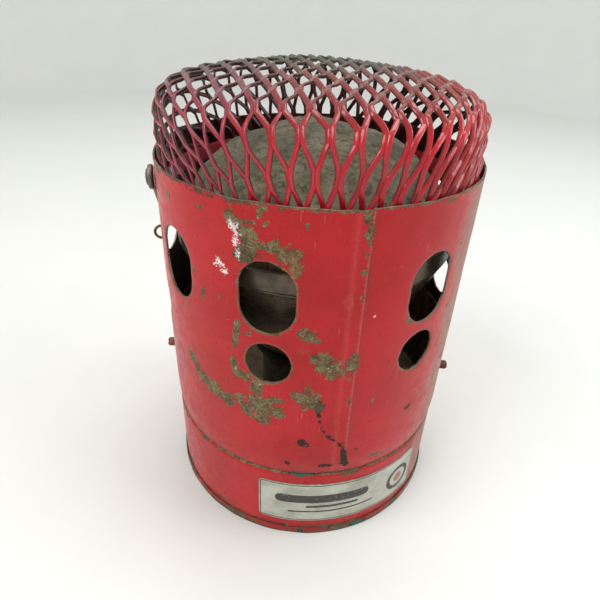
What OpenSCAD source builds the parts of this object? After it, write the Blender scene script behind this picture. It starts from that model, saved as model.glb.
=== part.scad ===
// Portable catalytic kerosene heater: a round fuel tank, a pierced sheet sleeve screwed to it,
// a burner head that stands in the tank's neck, an expanded-metal guard and a wire bail.
// Millimetres. The origin is on the floor under the middle of the tank, and +Z is up.
// Azimuths are in degrees round +Z, counted from the front (-Y) towards +X.

/* [Tank] */
// Outer radius of the tank wall
tank_r = 79.4; // [79:0.1:80]
// Height of the tank's shoulder above the floor
tank_h = 49.3; // [45:0.1:54]
// Radius of the rounded shoulder at the top of the wall
shoulder = 2.4; // [1.8:0.1:3]
// Thickness of the tank's sheet
tank_t = 0.9; // [0.6:0.1:1.2]

/* [Sleeve] */
// Outer radius of the sleeve
sleeve_r = 80; // [76:0.5:80.5]
// Height of the sleeve's top rim above the floor
rim_z = 195.5; // [185:0.5:205]
// Thickness of the sleeve's sheet
sheet_t = 0.8; // [0.5:0.1:1]
// Azimuth of the lap seam's free edge
seam_az = 16; // [0:1:25]
// Width of the lap seam in degrees
seam_w = 5; // [2:0.5:8]

/* [Holes] */
// Number of oval holes round the sleeve
hole_n = 9; // [4:1:9]
// Azimuth of the first oval hole
hole_az = 41.2; // [38:0.1:42]
// Angle between neighbouring oval holes
hole_pitch = 38.2; // [37:0.1:39]
// Width of an oval hole
hole_w = 25.5; // [18:0.1:26]
// Height of an oval hole
hole_h = 34.6; // [30:0.1:36]
// Height of the oval holes' middles above the floor
hole_z = 154; // [150:0.5:156]
// Number of small round holes
small_n = 6; // [1:1:6]
// Azimuth of the first small hole
small_az = 39.8; // [38:0.1:42]
// Angle between neighbouring small holes
small_pitch = 61.5; // [60:0.1:62]
// Diameter of a small hole
small_d = 21.8; // [14:0.1:23]
// Height of the small holes' middles above the floor
small_z = 120.3; // [116:0.1:122]

/* [Burner head] */
// Outer radius of the clamp ring round the pad
ring_r = 72; // [68:0.5:73]
// Height of the clamp ring's foot above the floor
ring_z = 153; // [150:0.5:156]
// Height of the pad's crown above the floor
pad_top = 209; // [195:0.5:212]
// Bore radius of the tank's neck
neck_r = 27; // [24:0.5:30]
// Height of the neck's mouth above the floor
neck_z = 88; // [84:0.5:90]

/* [Guard] */
// Height of the guard's crown above the floor
guard_top = 237; // [234:0.5:242]
// Thickness of the guard's expanded metal
guard_t = 1.6; // [1.2:0.1:2]
// Short way of one mesh
cell_w = 12.6; // [10:0.2:20]
// Long way of one mesh
cell_l = 40; // [30:1:50]

/* [Bail] */
// Height of the bail's pivots above the floor
pivot_z = 182; // [180:0.5:186]
// Azimuth of the left pivot
pivot_az = -78.7; // [-80:0.1:-76]
// Diameter of the bail's wire
wire_d = 2.6; // [2:0.1:2.8]
// Length of the bail's straight legs
leg = 30; // [28:1:40]
// Lean of the folded bail from upright
bail_lean = 133.4; // [120:0.1:133.5]

/* [Hidden] */

$fn = 96;
tiny = 0.01;
gap = 0.3;
fitted = 0.05;

tank_in = tank_r - tank_t;
shoulder_c = [tank_r - shoulder, tank_h - shoulder];
lip_z = tank_h - tank_t;
lip_r = shoulder_c[0] - 2;
floor_z = 3;
seam_h = 4.6;
chime_r = tank_r + 0.9;
chime_round = 0.8;
chime_w = 2.2;
top_t = 1;
top_z = lip_z - top_t;

label_from = -16;
label_to = 54;
label_z = [11, 41.5];
label_t = 0.3;

necking_z = 64;
necking = 1.3;
sleeve_z = tank_h + 0.6;
sleeve_in = sleeve_r - sheet_t;
seam_t = 0.7;

upstand_r = sleeve_in - necking - 0.2;
upstand_top = 103;

// Azimuth and height of the left and the right screw
screws = [[-90, 69.5], [90, 64]];
screw_d = 4;
screw_hole = 4.2;
head_d = 5.6;
head_end = 88;
screw_slot = [1, 1.2];
nut_w = 7;
nut_t = 3.2;

neck_t = 1;
neck_foot = top_z - 3.5;
collar_r = 34;
collar_h = 6;
gasket_t = 1.2;
spigot_r = neck_r - 0.6;
spigot_t = 0.8;
spigot_z = neck_z - 20;
flange_z = neck_z + gasket_t + gap;
flange_t = 1;
wick_r = 11.5;
wick_clear = 0.5;
wick_top = 118;

bowl_z = flange_z + flange_t;
bowl_top = ring_z - 0.8;
bowl_r = ring_r - 2;
bowl_t = 0.8;
bowl_curve = 0.75;
bowl_steps = 10;

pad_z = ring_z + 4;
pad_r = ring_r - 3;
pad_thick = 8;
lip = 3;
ring_h = 9;
grid_wire = 1.6;
grid_z = pad_z - 1.1;

crown_r = 400;
crown_edge = sleeve_in - 15.5;
round_r = 16;
wall_lean = 0.012;
guard_z = 178;
mesh_a = 2.1;
mesh_b = 3.6;
crown_tilt = crown_edge / crown_r * 180 / PI;
crown_z = guard_top - guard_t / 2;
edge_z = crown_z - crown_edge * crown_edge / (2 * crown_r);
round_len = round_r * (90 - crown_tilt) * PI / 180;
wall_r = crown_edge + round_r * (1 - sin(crown_tilt));
wall_z = edge_z - round_r * cos(crown_tilt);
mesh_reach = crown_edge + round_len + wall_z - guard_z;
mesh_i = ceil(mesh_reach / cell_w);
mesh_j = ceil(mesh_reach / (cell_l / 2));

band_r = wall_r - guard_t / 2 - wall_lean * (wall_z - guard_z) - 0.5;
band_t = 1.2;
band_h = 8;
band_z = guard_z - 2;
stop_h = 3;
stop_depth = 4.8;
stop_w = 8;
stop_n = 3;

eye_d = 12;
eye_t = 2.4;
washer_t = 0.9;
eye_r = sleeve_r + washer_t + gap;
leg_r = eye_r + eye_t / 2;
pivot_d = 4;
pivot_play = 0.05;
head_w = 8;
head_t = 1.1;
head_at = eye_r + eye_t + gap;
loop_az = -75.5;
loop_z = 154.8;
loop_wire = 1.4;
loop_r = 3.3;
loop_leg = 2.4;

// Outer radius of the sleeve at height z: its foot is necked in to the tank's shoulder
function sleeve_at(z) = z >= necking_z
    ? sleeve_r
    : sleeve_r - necking * (1 - cos(min(90, (necking_z - z) / (necking_z - sleeve_z) * 90)));

// Points on an arc round c from angle a0 to a1
function arc(c, r, a0, a1, n = 12) =
    [for (k = [0:n]) c + r * [cos(a0 + (a1 - a0) * k / n), sin(a0 + (a1 - a0) * k / n)]];

// Radius of the bowl's inside at height z
function bowl_at(z) =
    collar_r + (bowl_r - collar_r) * pow((z - bowl_z) / (bowl_top - bowl_z), bowl_curve);

// Points on a quarter ellipse from its edge to its crown
function dome(r, z0, h, n = 16) =
    [for (k = [0:n]) [k == n ? 0 : r * cos(90 * k / n), z0 + h * sin(90 * k / n)]];

module at_azimuth(az) {
    rotate([0, 0, az - 90]) children();
}

module ring(r_in, r_out, z0, z1) {
    translate([0, 0, z0]) difference() {
        cylinder(r = r_out, h = z1 - z0);
        translate([0, 0, -1]) cylinder(r = r_in, h = z1 - z0 + 2);
    }
}

// A cylinder that lies along the radius at azimuth az, from radius r0 to r1
module radial(az, z, d, r0, r1) {
    at_azimuth(az) translate([r0, 0, z]) rotate([0, 90, 0]) cylinder(d = d, h = r1 - r0, $fn = 48);
}

// ---- tank ----

module tank_shell() {
    wall = concat(
        [[tank_in, floor_z], [tank_r, floor_z]],
        arc(shoulder_c, shoulder, 0, 90),
        [[lip_r, tank_h], [lip_r, lip_z]],
        arc(shoulder_c, shoulder - tank_t, 90, 0)
    );
    color("firebrick") rotate_extrude() polygon(wall);
}

// Rolled chime that joins the bottom to the wall and is what the heater stands on
module bottom_seam() {
    profile = concat(
        [[tank_r - chime_w, 0]],
        arc([chime_r - chime_round, chime_round], chime_round, -90, 0, 6),
        arc([chime_r - chime_round, seam_h - chime_round], chime_round, 0, 90, 6),
        [[tank_r + fitted, seam_h], [tank_r + fitted, floor_z - tiny], [tank_r - chime_w, floor_z - tiny]]
    );
    color("saddlebrown") rotate_extrude() polygon(profile);
}

module tank_bottom() {
    color("dimgray") translate([0, 0, floor_z]) cylinder(r = tank_in - fitted, h = 1);
}

module tank_top() {
    color("gray") ring(neck_r + neck_t + fitted, lip_r + 1.5, top_z, lip_z - fitted);
}

module label_plate() {
    color("lightgray") at_azimuth(label_from) rotate_extrude(angle = label_to - label_from)
        translate([tank_r, label_z[0]]) square([label_t, label_z[1] - label_z[0]]);
}

module fuel_wadding() {
    color("wheat") difference() {
        ring(wick_r + wick_clear, tank_in - 0.4, floor_z + 1.2, top_z - 0.4);
        translate([0, 0, neck_foot - gap]) cylinder(r = neck_r + neck_t + gap, h = neck_z);
    }
}

// ---- neck ----

module neck_tube() {
    color("gray") ring(neck_r, neck_r + neck_t, neck_foot, neck_z - collar_h);
}

module neck_collar() {
    color("dimgray") ring(neck_r, collar_r, neck_z - collar_h, neck_z);
}

module neck_gasket() {
    color("black") ring(neck_r + neck_t, collar_r - 1, neck_z, neck_z + gasket_t);
}

// ---- sleeve and what is fixed to it ----

module upstand_ring() {
    color("saddlebrown") difference() {
        ring(upstand_r - sheet_t, upstand_r, tank_h, upstand_top);
        for (s = screws) radial(s[0], s[1], screw_hole, upstand_r - 5, upstand_r + 1);
    }
}

module sleeve_wall() {
    foot = [for (k = [0:6]) sleeve_z + (necking_z - sleeve_z) * k / 6];
    outside = concat([for (z = foot) [sleeve_at(z), z]], [[sleeve_r, rim_z]]);
    inside = [for (k = [len(outside) - 1:-1:0]) outside[k] - [sheet_t, 0]];
    rotate_extrude() polygon(concat(outside, inside));
    at_azimuth(seam_az - seam_w) rotate_extrude(angle = seam_w)
        translate([sleeve_r - tiny, necking_z]) square([seam_t, rim_z - necking_z - 0.8]);
}

// An upright oval hole: two round ends and a straight middle
module oval_hole(az) {
    r = hole_w / 2;
    rise = hole_h / 2 - r;
    radial(az, hole_z - rise, hole_w, sleeve_r - 12, sleeve_r + 12);
    radial(az, hole_z + rise, hole_w, sleeve_r - 12, sleeve_r + 12);
    at_azimuth(az) translate([sleeve_r - 12, -r, hole_z - rise]) cube([24, hole_w, 2 * rise]);
}

module sleeve() {
    color("firebrick") difference() {
        sleeve_wall();
        for (k = [0:hole_n - 1]) oval_hole(hole_az + k * hole_pitch);
        for (k = [0:small_n - 1]) {
            radial(small_az + k * small_pitch, small_z, small_d, sleeve_r - 12, sleeve_r + 12);
        }
        for (s = screws) radial(s[0], s[1], screw_hole, sleeve_r - 4, sleeve_r + 4);
        for (az = [pivot_az, pivot_az + 180]) radial(az, pivot_z, pivot_d, sleeve_r - 4, sleeve_r + 4);
        for (dz = [-loop_r, loop_r]) radial(loop_az, loop_z + dz, loop_wire + gap, sleeve_r - 4, sleeve_r + 4);
    }
}

module shell_screws() {
    color("saddlebrown") for (s = screws) {
        radial(s[0], s[1], screw_d, upstand_r - sheet_t - nut_t - 1.5, sleeve_r + 1);
        difference() {
            radial(s[0], s[1], head_d, sleeve_r + 0.05, head_end);
            at_azimuth(s[0]) translate([head_end - screw_slot[1], -screw_slot[0] / 2, s[1] - head_d])
                cube([screw_slot[1] + 1, screw_slot[0], 2 * head_d]);
        }
    }
}

module shell_nuts() {
    color("gray") for (s = screws) difference() {
        at_azimuth(s[0]) translate([upstand_r - sheet_t - nut_t - 0.2, 0, s[1]]) rotate([0, 90, 0])
            cylinder(d = nut_w / cos(30), h = nut_t, $fn = 6);
        radial(s[0], s[1], screw_d, upstand_r - 12, upstand_r + 2);
    }
}

// Lugs inside the sleeve that the guard's band stands on
module guard_stops() {
    color("saddlebrown") for (k = [0:stop_n - 1]) {
        at_azimuth(30 + k * 360 / stop_n) rotate_extrude(angle = stop_w)
            translate([sleeve_in - stop_depth, band_z - gap - stop_h]) square([stop_depth - fitted, stop_h]);
    }
}

// Small wire loop that stands out of the sleeve under the left pivot
module wire_loop() {
    color("saddlebrown") at_azimuth(loop_az) {
        translate([sleeve_r, 0, loop_z]) rotate([90, -90, 0]) rotate_extrude(angle = 180)
            translate([loop_r, 0]) circle(d = loop_wire, $fn = 24);
        for (dz = [-loop_r, loop_r]) {
            translate([sleeve_r - loop_leg, 0, loop_z + dz]) rotate([0, 90, 0])
                cylinder(d = loop_wire, h = loop_leg, $fn = 24);
        }
    }
}

module bail_pivots() {
    color("dimgray") for (az = [pivot_az, pivot_az + 180]) {
        radial(az, pivot_z, pivot_d, sleeve_in - 0.5, head_at + 0.1);
        radial(az, pivot_z, head_w, head_at, head_at + head_t);
        radial(az, pivot_z, head_w, sleeve_in - 0.9, sleeve_in - 0.1);
    }
}

module pivot_washers() {
    color("gray") for (az = [pivot_az, pivot_az + 180]) difference() {
        radial(az, pivot_z, 9, sleeve_r + 0.1, sleeve_r + washer_t);
        radial(az, pivot_z, pivot_d, sleeve_r - 1, sleeve_r + 3);
    }
}

// ---- burner head ----

module burner_spigot() {
    color("gray") {
        ring(spigot_r - spigot_t, spigot_r, spigot_z, flange_z + flange_t);
        ring(spigot_r - tiny, collar_r, flange_z, flange_z + flange_t);
    }
}

module burner_bowl() {
    heights = [for (k = [0:bowl_steps]) bowl_z + (bowl_top - bowl_z) * pow(k / bowl_steps, 1.6)];
    inside = [for (z = heights) [bowl_at(z), z]];
    outside = [for (k = [bowl_steps:-1:0]) inside[k] + [bowl_t, k == 0 ? 0 : -0.4]];
    color("dimgray") {
        rotate_extrude() polygon(concat(
            inside,
            [[ring_r - 1, bowl_top], [ring_r - 1, bowl_top - bowl_t], [bowl_r + bowl_t, bowl_top - bowl_t]],
            [for (k = [1:bowl_steps]) outside[k]]
        ));
        ring(spigot_r - spigot_t, collar_r + bowl_t, bowl_z, bowl_z + bowl_t);
    }
}

module bowl_packing() {
    z0 = bowl_z + bowl_t + 0.6;
    z1 = bowl_top - 0.2;
    heights = [for (k = [0:8]) z0 + (z1 - z0) * k / 8];
    color("wheat") difference() {
        rotate_extrude() polygon(concat(
            [[0, z0]], [for (z = heights) [bowl_at(z) - 0.5, z]], [[0, z1]]
        ));
        translate([0, 0, z0 - 1]) cylinder(r = wick_r + wick_clear, h = wick_top - z0 + 1.5);
    }
}

module wick() {
    color("wheat") translate([0, 0, floor_z + 2.5]) cylinder(r = wick_r, h = wick_top - floor_z - 2.5);
}

// Wire grid that carries the pad across the mouth of the bowl
module pad_grid() {
    color("dimgray") {
        for (r = [22, 44, 66]) {
            ring(r - grid_wire / 2, r + grid_wire / 2, grid_z - grid_wire / 2, grid_z + grid_wire / 2);
        }
        for (k = [0:3]) {
            rotate([0, 0, 45 * k]) translate([-66, -grid_wire / 2, grid_z - grid_wire / 2])
                cube([132, grid_wire, grid_wire]);
        }
    }
}

module catalyst_pad() {
    outside = dome(pad_r, pad_z, pad_top - pad_z);
    inside = dome(pad_r - pad_thick, pad_z, pad_top - pad_z - pad_thick);
    back = [for (k = [len(inside) - 1:-1:0]) inside[k]];
    color("darkkhaki") rotate_extrude() polygon(concat(outside, back));
}

module clamp_ring() {
    profile = [
        [ring_r - 0.8, ring_z], [ring_r, ring_z], [ring_r, ring_z + ring_h],
        [ring_r - lip + 0.2, ring_z + ring_h], [ring_r - lip + 0.2, ring_z + ring_h - 0.8],
        [ring_r - 0.8, ring_z + ring_h - 0.8]
    ];
    color("dimgray") rotate_extrude() polygon(profile);
}

// ---- guard ----

// Radius, height and outward tilt of the guard's middle surface at distance s along its sheet
function guard_profile(s) =
    s <= crown_edge
        ? [s, crown_z - s * s / (2 * crown_r), s / crown_r * 180 / PI]
    : s <= crown_edge + round_len
        ? round_point(crown_tilt + (s - crown_edge) / round_r * 180 / PI)
    : let (down = s - crown_edge - round_len)
        [wall_r - wall_lean * down, wall_z - down, 90];

function round_point(tilt) = [
    crown_edge + round_r * (sin(tilt) - sin(crown_tilt)),
    edge_z - round_r * (cos(crown_tilt) - cos(tilt)),
    tilt
];

// A point of the flat sheet, drawn over the cap and moved off along its normal
function guard_point(p, off) =
    let (s = max(norm(p), tiny), u = p / s, q = guard_profile(s), r = q[0] + off * sin(q[2]))
        [r * u[0], r * u[1], q[1] + off * cos(q[2])];

// Joint (i, j) of the flat sheet: odd rows are shifted by half a mesh
function joint_xy(i, j) = [(i + (j % 2 == 0 ? 0 : 0.5)) * cell_w, j * cell_l / 2];
function kept(i, j) = abs(i) <= mesh_i && abs(j) <= mesh_j && norm(joint_xy(i, j)) <= mesh_reach;
function right_of(i, j) = j % 2 == 0 ? i : i + 1;
function left_of(i, j) = j % 2 == 0 ? i - 1 : i;
function joint_index(i, j) = 8 * ((j + mesh_j) * (2 * mesh_i + 1) + i + mesh_i);

// Corners of a joint: top, right, bottom, left, first on the outer face and then on the inner
function joint_corners(c) = [for (off = [1, -1]) each [
    for (d = [[0, mesh_b], [mesh_a, 0], [0, -mesh_b], [-mesh_a, 0]])
        guard_point(c + d, off * guard_t / 2)
]];

function quad(a, b, c, d) = [[a, b, c], [a, c, d]];

// Two side walls and two faces of a strand that leaves corners a, b of joint k for c, d of joint m
function strand(k, a, b, m, c, d) = concat(
    quad(k + a, m + d, m + c, k + b),
    quad(k + b + 4, m + c + 4, m + d + 4, k + a + 4),
    quad(m + d, k + a, k + a + 4, m + d + 4),
    quad(k + b, m + c, m + c + 4, k + b + 4)
);

// Closes the side of joint k between corners a and b where no strand leaves it
function closed_side(k, a, b) = quad(k + b, k + a, k + a + 4, k + b + 4);

function joint_faces(i, j) =
    let (
        k = joint_index(i, j),
        ir = right_of(i, j),
        il = left_of(i, j),
        up_right = kept(ir, j + 1),
        up_left = kept(il, j + 1)
    ) concat(
        quad(k, k + 1, k + 2, k + 3),
        quad(k + 7, k + 6, k + 5, k + 4),
        up_right ? strand(k, 0, 1, joint_index(ir, j + 1), 2, 3) : closed_side(k, 0, 1),
        up_left ? strand(k, 3, 0, joint_index(il, j + 1), 1, 2) : closed_side(k, 3, 0),
        kept(ir, j - 1) ? [] : closed_side(k, 1, 2),
        kept(il, j - 1) ? [] : closed_side(k, 2, 3)
    );

module guard_mesh() {
    corners = [for (j = [-mesh_j:mesh_j]) for (i = [-mesh_i:mesh_i]) each joint_corners(joint_xy(i, j))];
    faces = [
        for (j = [-mesh_j:mesh_j]) for (i = [-mesh_i:mesh_i]) if (kept(i, j)) each joint_faces(i, j)
    ];
    color("crimson") polyhedron(points = corners, faces = faces);
}

module guard_band() {
    color("firebrick") ring(band_r - band_t, band_r, band_z, band_z + band_h);
}

// ---- bail ----

// Drawn upright in the plane of its pivots and then laid back against the sleeve
module bail() {
    color("slategray") translate([0, 0, pivot_z]) rotate([0, 0, pivot_az + 90]) rotate([-bail_lean, 0, 0]) {
        for (side = [-1, 1]) difference() {
            union() {
                translate([side * leg_r, 0, 0]) cylinder(d = wire_d, h = leg, $fn = 32);
                translate([side * leg_r - eye_t / 2, 0, 0]) rotate([0, 90, 0])
                    cylinder(d = eye_d, h = eye_t, $fn = 48);
            }
            translate([side * leg_r - eye_t, 0, 0]) rotate([0, 90, 0])
                cylinder(d = pivot_d + 2 * pivot_play, h = 2 * eye_t, $fn = 48);
        }
        translate([0, 0, leg]) rotate([90, 0, 0]) rotate_extrude(angle = 180)
            translate([leg_r, 0]) circle(d = wire_d, $fn = 32);
    }
}

tank_shell();
bottom_seam();
tank_bottom();
tank_top();
label_plate();
fuel_wadding();
neck_tube();
neck_collar();
neck_gasket();
upstand_ring();
sleeve();
shell_screws();
shell_nuts();
guard_stops();
wire_loop();
bail_pivots();
pivot_washers();
burner_spigot();
burner_bowl();
bowl_packing();
wick();
pad_grid();
catalyst_pad();
clamp_ring();
guard_mesh();
guard_band();
bail();
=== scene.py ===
"""The looks of a small catalytic kerosene heater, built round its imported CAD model.

Lengths are in millimetres until a mesh is made. Azimuths are in degrees round +Z, counted from
the front (-Y) towards +X, as in the CAD source.
"""

import math
from collections import Counter

import bmesh
import bpy
import numpy as np
from mathutils import Matrix, Vector
from mathutils.geometry import delaunay_2d_cdt


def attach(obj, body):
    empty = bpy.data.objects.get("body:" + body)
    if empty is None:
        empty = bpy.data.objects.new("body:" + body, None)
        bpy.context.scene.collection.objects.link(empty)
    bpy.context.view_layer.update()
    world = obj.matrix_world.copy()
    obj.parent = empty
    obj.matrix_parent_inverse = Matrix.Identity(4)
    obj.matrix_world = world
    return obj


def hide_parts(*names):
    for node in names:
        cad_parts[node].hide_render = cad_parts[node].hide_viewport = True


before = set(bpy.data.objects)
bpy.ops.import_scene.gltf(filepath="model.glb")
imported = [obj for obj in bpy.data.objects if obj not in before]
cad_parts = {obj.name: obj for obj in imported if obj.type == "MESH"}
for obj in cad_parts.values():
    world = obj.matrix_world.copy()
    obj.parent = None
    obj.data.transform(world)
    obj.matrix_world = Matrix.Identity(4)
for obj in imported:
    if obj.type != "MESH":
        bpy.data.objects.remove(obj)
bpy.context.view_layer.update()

MM = 0.001
ON_AXIS = 1e-6
RNG = np.random.default_rng(41)

# ---- sizes, as in the CAD source ----

TANK_R, TANK_H, TANK_T = 79.4, 49.3, 0.9
SHOULDER = 2.4
CHIME_R, CHIME_H, TANK_FOOT = 80.3, 4.6, 3.0
SLEEVE_R, SLEEVE_FOOT, RIM, SHEET = 80.0, 49.9, 195.5, 0.8
NECK_TOP, NECKING = 64.0, 1.3
# The lap seam: the azimuths where it starts to rise, is up, starts to fall and is down.
SEAM = (10.8, 11.7, 15.93, 16.07)
SEAM_T = 0.7
# The sleeve's holes: azimuth, height, how wide and how tall.
OVALS = [(41.2 + 38.2 * k, 154.0, 25.5, 34.6) for k in range(9)]
ROUNDS = [(39.8 + 61.5 * k, 120.3, 21.8, 21.8) for k in range(6)]
UPSTAND_TOP = 103
SCREWS = [(-90.0, 69.5), (90.0, 64.0)]
PIVOTS, PIVOT_Z = (-78.7, 101.3), 182.0
RIVET_R, WASHER_T, EYE_T, PLAY = 2.0, 0.9, 2.4, 0.3
EYE_FACE = SLEEVE_R + WASHER_T + PLAY
BAIL_LEAN, BAIL_LEG, BAIL_WIRE_R = 133.4, 30.0, 1.3
LOOP_AZ, LOOP_Z, LOOP_R, LOOP_WIRE_R = -75.5, 154.8, 3.3, 0.7
LABEL_AZ, LABEL_Z, LABEL_T = (-16.0, 54.0), (11.0, 41.5), 0.3
GUARD_TOP, GUARD_T = 237.0, 1.6
CROWN_R, CROWN_EDGE, ROUND_R, WALL_LEAN, GUARD_Z = 400.0, 63.7, 16.0, 0.012, 178.0
HOOP_Z, HOOP_T = (176, 184), 1.2
BOWL_Z, BOWL_TOP, BOWL_T = 90.5, 152.2, 0.8
LID_Z, LID_T, WICK_R, WICK_TOP = 47.4, 1.0, 11.2, 118
SPIGOT_R, SPIGOT_FOOT, FLANGE_R, FLANGE_Z = 25.6, 68, 34, 89.5
NECK_R, COLLAR_Z, COLLAR_R, GASKET_Z, GASKET_T = 28, 82, 33.6, 88, 1.2
RING_R, RING_Z = 72, (153, 162)
PAD_R, PAD_Z, PAD_H, PAD_T = 69.0, 157.0, 52.0, 8


# ---- numbers ----

def smooth(x, a, b):
    """0 where x is a, 1 where it is b, smooth between."""
    t = np.clip((np.asarray(x, float) - a) / (b - a), 0, 1)
    return t * t * (3 - 2 * t)


def bell(x, width):
    return np.exp(-((x / width) ** 2))


def turn(az):
    """Azimuth brought into -180..180."""
    return (np.asarray(az, float) + 180) % 360 - 180


def around(az, r, z):
    """Points at azimuth az, radius r and height z."""
    a = np.radians(az)
    return np.stack(np.broadcast_arrays(r * np.sin(a), -r * np.cos(a), z), -1).astype(float)


def wobble(p, size, seed, waves=14):
    """Smooth random field over points p, about -1..1, with bumps of about that size."""
    rng = np.random.default_rng(seed)
    k = rng.normal(size=(waves, 3))
    k *= (rng.uniform(0.6, 1.6, waves) * math.pi / size / np.linalg.norm(k, axis=1))[:, None]
    return np.sin(np.asarray(p, float) @ k.T + rng.uniform(0, 6.3, waves)).sum(-1) / math.sqrt(waves)


# ---- meshes ----

def show(name, data):
    obj = bpy.data.objects.new(name, data)
    bpy.context.scene.collection.objects.link(obj)
    return obj


def piece(name, verts, faces, materials, body, nodes, slot, marks=None, which=None, sharp=35.0):
    """A mesh object in the row frame that stands for CAD nodes and rides on a body."""
    mesh = bpy.data.meshes.new(name)
    mesh.from_pydata((np.asarray(verts) * MM).tolist(), [], [tuple(int(i) for i in f) for f in faces])
    for m in materials:
        mesh.materials.append(m)
    if which is not None:
        mesh.polygons.foreach_set("material_index", np.asarray(which, np.int32))
    for key, values in (marks or {}).items():
        a = mesh.attributes.new(key, "FLOAT", "POINT")
        a.data.foreach_set("value", np.asarray(values, np.float32))
    mesh.validate()
    mesh.polygons.foreach_set("use_smooth", np.ones(len(mesh.polygons), bool))
    mesh.set_sharp_from_angle(angle=math.radians(sharp))
    obj = show(name, mesh)
    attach(obj, body)
    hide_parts(*nodes)
    return obj


def join(parts):
    """One (verts, faces) of several."""
    verts, faces, base = [], [], 0
    for v, f in parts:
        verts.append(np.asarray(v, float))
        faces += [tuple(i + base for i in face) for face in f]
        base += len(v)
    return np.concatenate(verts), faces


def rounded(profile, by, steps=3):
    """A closed profile whose corners are cut by short arcs."""
    pts = [np.asarray(p, float) for p in profile]
    out = []
    for k, p in enumerate(pts):
        a, b = pts[k - 1] - p, pts[(k + 1) % len(pts)] - p
        la, lb = np.linalg.norm(a), np.linalg.norm(b)
        cut = min(by, la * 0.45, lb * 0.45)
        if p[0] < ON_AXIS or cut < 1e-4 or a @ b < -0.97 * la * lb:
            out.append(p)
            continue
        s, e = p + a / la * cut, p + b / lb * cut
        for t in np.linspace(0, 1, steps + 1):
            out.append((1 - t) ** 2 * s + 2 * t * (1 - t) * p + t * t * e)
    return out


def filled(profile, step):
    """The same closed profile with points no further apart than step."""
    out = []
    for k, p in enumerate(profile):
        q = profile[(k + 1) % len(profile)]
        n = max(1, int(math.ceil(np.linalg.norm(q - p) / step)))
        out += [p + (q - p) * t / n for t in range(n)]
    return out


def tube(r0, r1, z0, z1):
    """The closed profile of a plain tube or disc."""
    return [(r0, z0), (r1, z0), (r1, z1), (r0, z1)]


def turned(profile, round_by=0.3, step=4.0, around_n=180, rough=0.0, rough_size=12.0, seed=1):
    """(verts, faces) of a closed profile turned about the axis, roughened along the radius."""
    prof = np.array(filled(rounded(profile, round_by), step))
    n = len(prof)
    az = np.arange(around_n) * 360.0 / around_n
    verts = around(az[:, None], prof[None, :, 0], prof[None, :, 1]).reshape(-1, 3)
    if rough:
        shift = rough * wobble(verts, rough_size, seed)
        on_axis = np.hypot(verts[:, 0], verts[:, 1]) < ON_AXIS
        out = verts.copy()
        out[:, 2] = 0
        out /= np.maximum(np.linalg.norm(out, axis=1), 1e-6)[:, None]
        verts = verts + np.where(on_axis, 0, shift)[:, None] * out
    faces = []
    for i in range(around_n):
        j = (i + 1) % around_n
        for k in range(n):
            m = (k + 1) % n
            face = [i * n + k, j * n + k, j * n + m, i * n + m]
            if prof[k][0] < ON_AXIS and prof[m][0] < ON_AXIS:
                continue
            if prof[k][0] < ON_AXIS:
                face = face[1:]
            elif prof[m][0] < ON_AXIS:
                face = face[:3]
            faces.append(tuple(face))
    ahead = np.roll(prof, -1, 0)
    if np.sum(prof[:, 0] * ahead[:, 1] - ahead[:, 0] * prof[:, 1]) < 0:
        faces = [f[::-1] for f in faces]
    return weld(verts, faces)


def weld(verts, faces):
    """The same mesh with points that coincide made one."""
    bm = bmesh.new()
    made = [bm.verts.new(v) for v in verts]
    bm.verts.ensure_lookup_table()
    for f in faces:
        if len(set(f)) > 2:
            bm.faces.new([made[i] for i in f])
    bmesh.ops.remove_doubles(bm, verts=bm.verts[:], dist=1e-4)
    bmesh.ops.delete(bm, geom=[v for v in bm.verts if not v.link_faces], context="VERTS")
    bm.verts.index_update()
    out = np.array([v.co[:] for v in bm.verts]), [[v.index for v in f.verts] for f in bm.faces]
    bm.free()
    return out


def turned_piece(name, profile, material, body, nodes, slot, sharp=35.0, **how):
    """A piece in one material, made by turning a closed profile."""
    v, f = turned(profile, **how)
    piece(name, v, f, [material], body, nodes, slot, sharp=sharp)


def bar_faces(rings, sides, base=0):
    """Faces of a bar with closed ends, whose points come ring by ring from base on."""
    faces = []
    for k in range(rings - 1):
        here = base + k * sides
        for i in range(sides):
            j = (i + 1) % sides
            faces.append((here + i, here + j, here + sides + j, here + sides + i))
    faces.append(tuple(base + i for i in range(sides))[::-1])
    faces.append(tuple(base + (rings - 1) * sides + i for i in range(sides)))
    return faces


def swept(path, radius, sides=14):
    """(verts, faces) of a round bar along a path of points."""
    p = np.asarray(path, float)
    n = len(p)
    ahead = np.roll(p, -1, 0) - np.roll(p, 1, 0)
    ahead[0], ahead[-1] = p[1] - p[0], p[-1] - p[-2]
    ahead /= np.linalg.norm(ahead, axis=1)[:, None]
    side = np.cross(ahead[0], [0.31, 0.2, 0.93])
    across = []
    for k in range(n):
        side = side - (side @ ahead[k]) * ahead[k]
        side /= np.linalg.norm(side)
        across.append(side.copy())
    s = np.array(across)
    u = np.cross(ahead, s)
    a = np.arange(sides) * 2 * math.pi / sides
    ring = s[:, None] * np.cos(a)[None, :, None] + u[:, None] * np.sin(a)[None, :, None]
    return (p[:, None] + ring * radius).reshape(-1, 3), bar_faces(n, sides)


def placed(mesh, az, r, z, spin=0.0):
    """A mesh built with its own +Z pointing out, set at azimuth az, radius r and height z."""
    v, f = mesh
    a = math.radians(az)
    out = np.array([math.sin(a), -math.cos(a), 0])
    across = np.array([math.cos(a), math.sin(a), 0])
    up = np.array([0, 0, 1.0])
    c, s = math.cos(math.radians(spin)), math.sin(math.radians(spin))
    x, y = v[:, 0] * c - v[:, 1] * s, v[:, 0] * s + v[:, 1] * c
    return np.outer(x, across) + np.outer(y, up) + np.outer(v[:, 2] + r, out) + [0, 0, z], f


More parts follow.
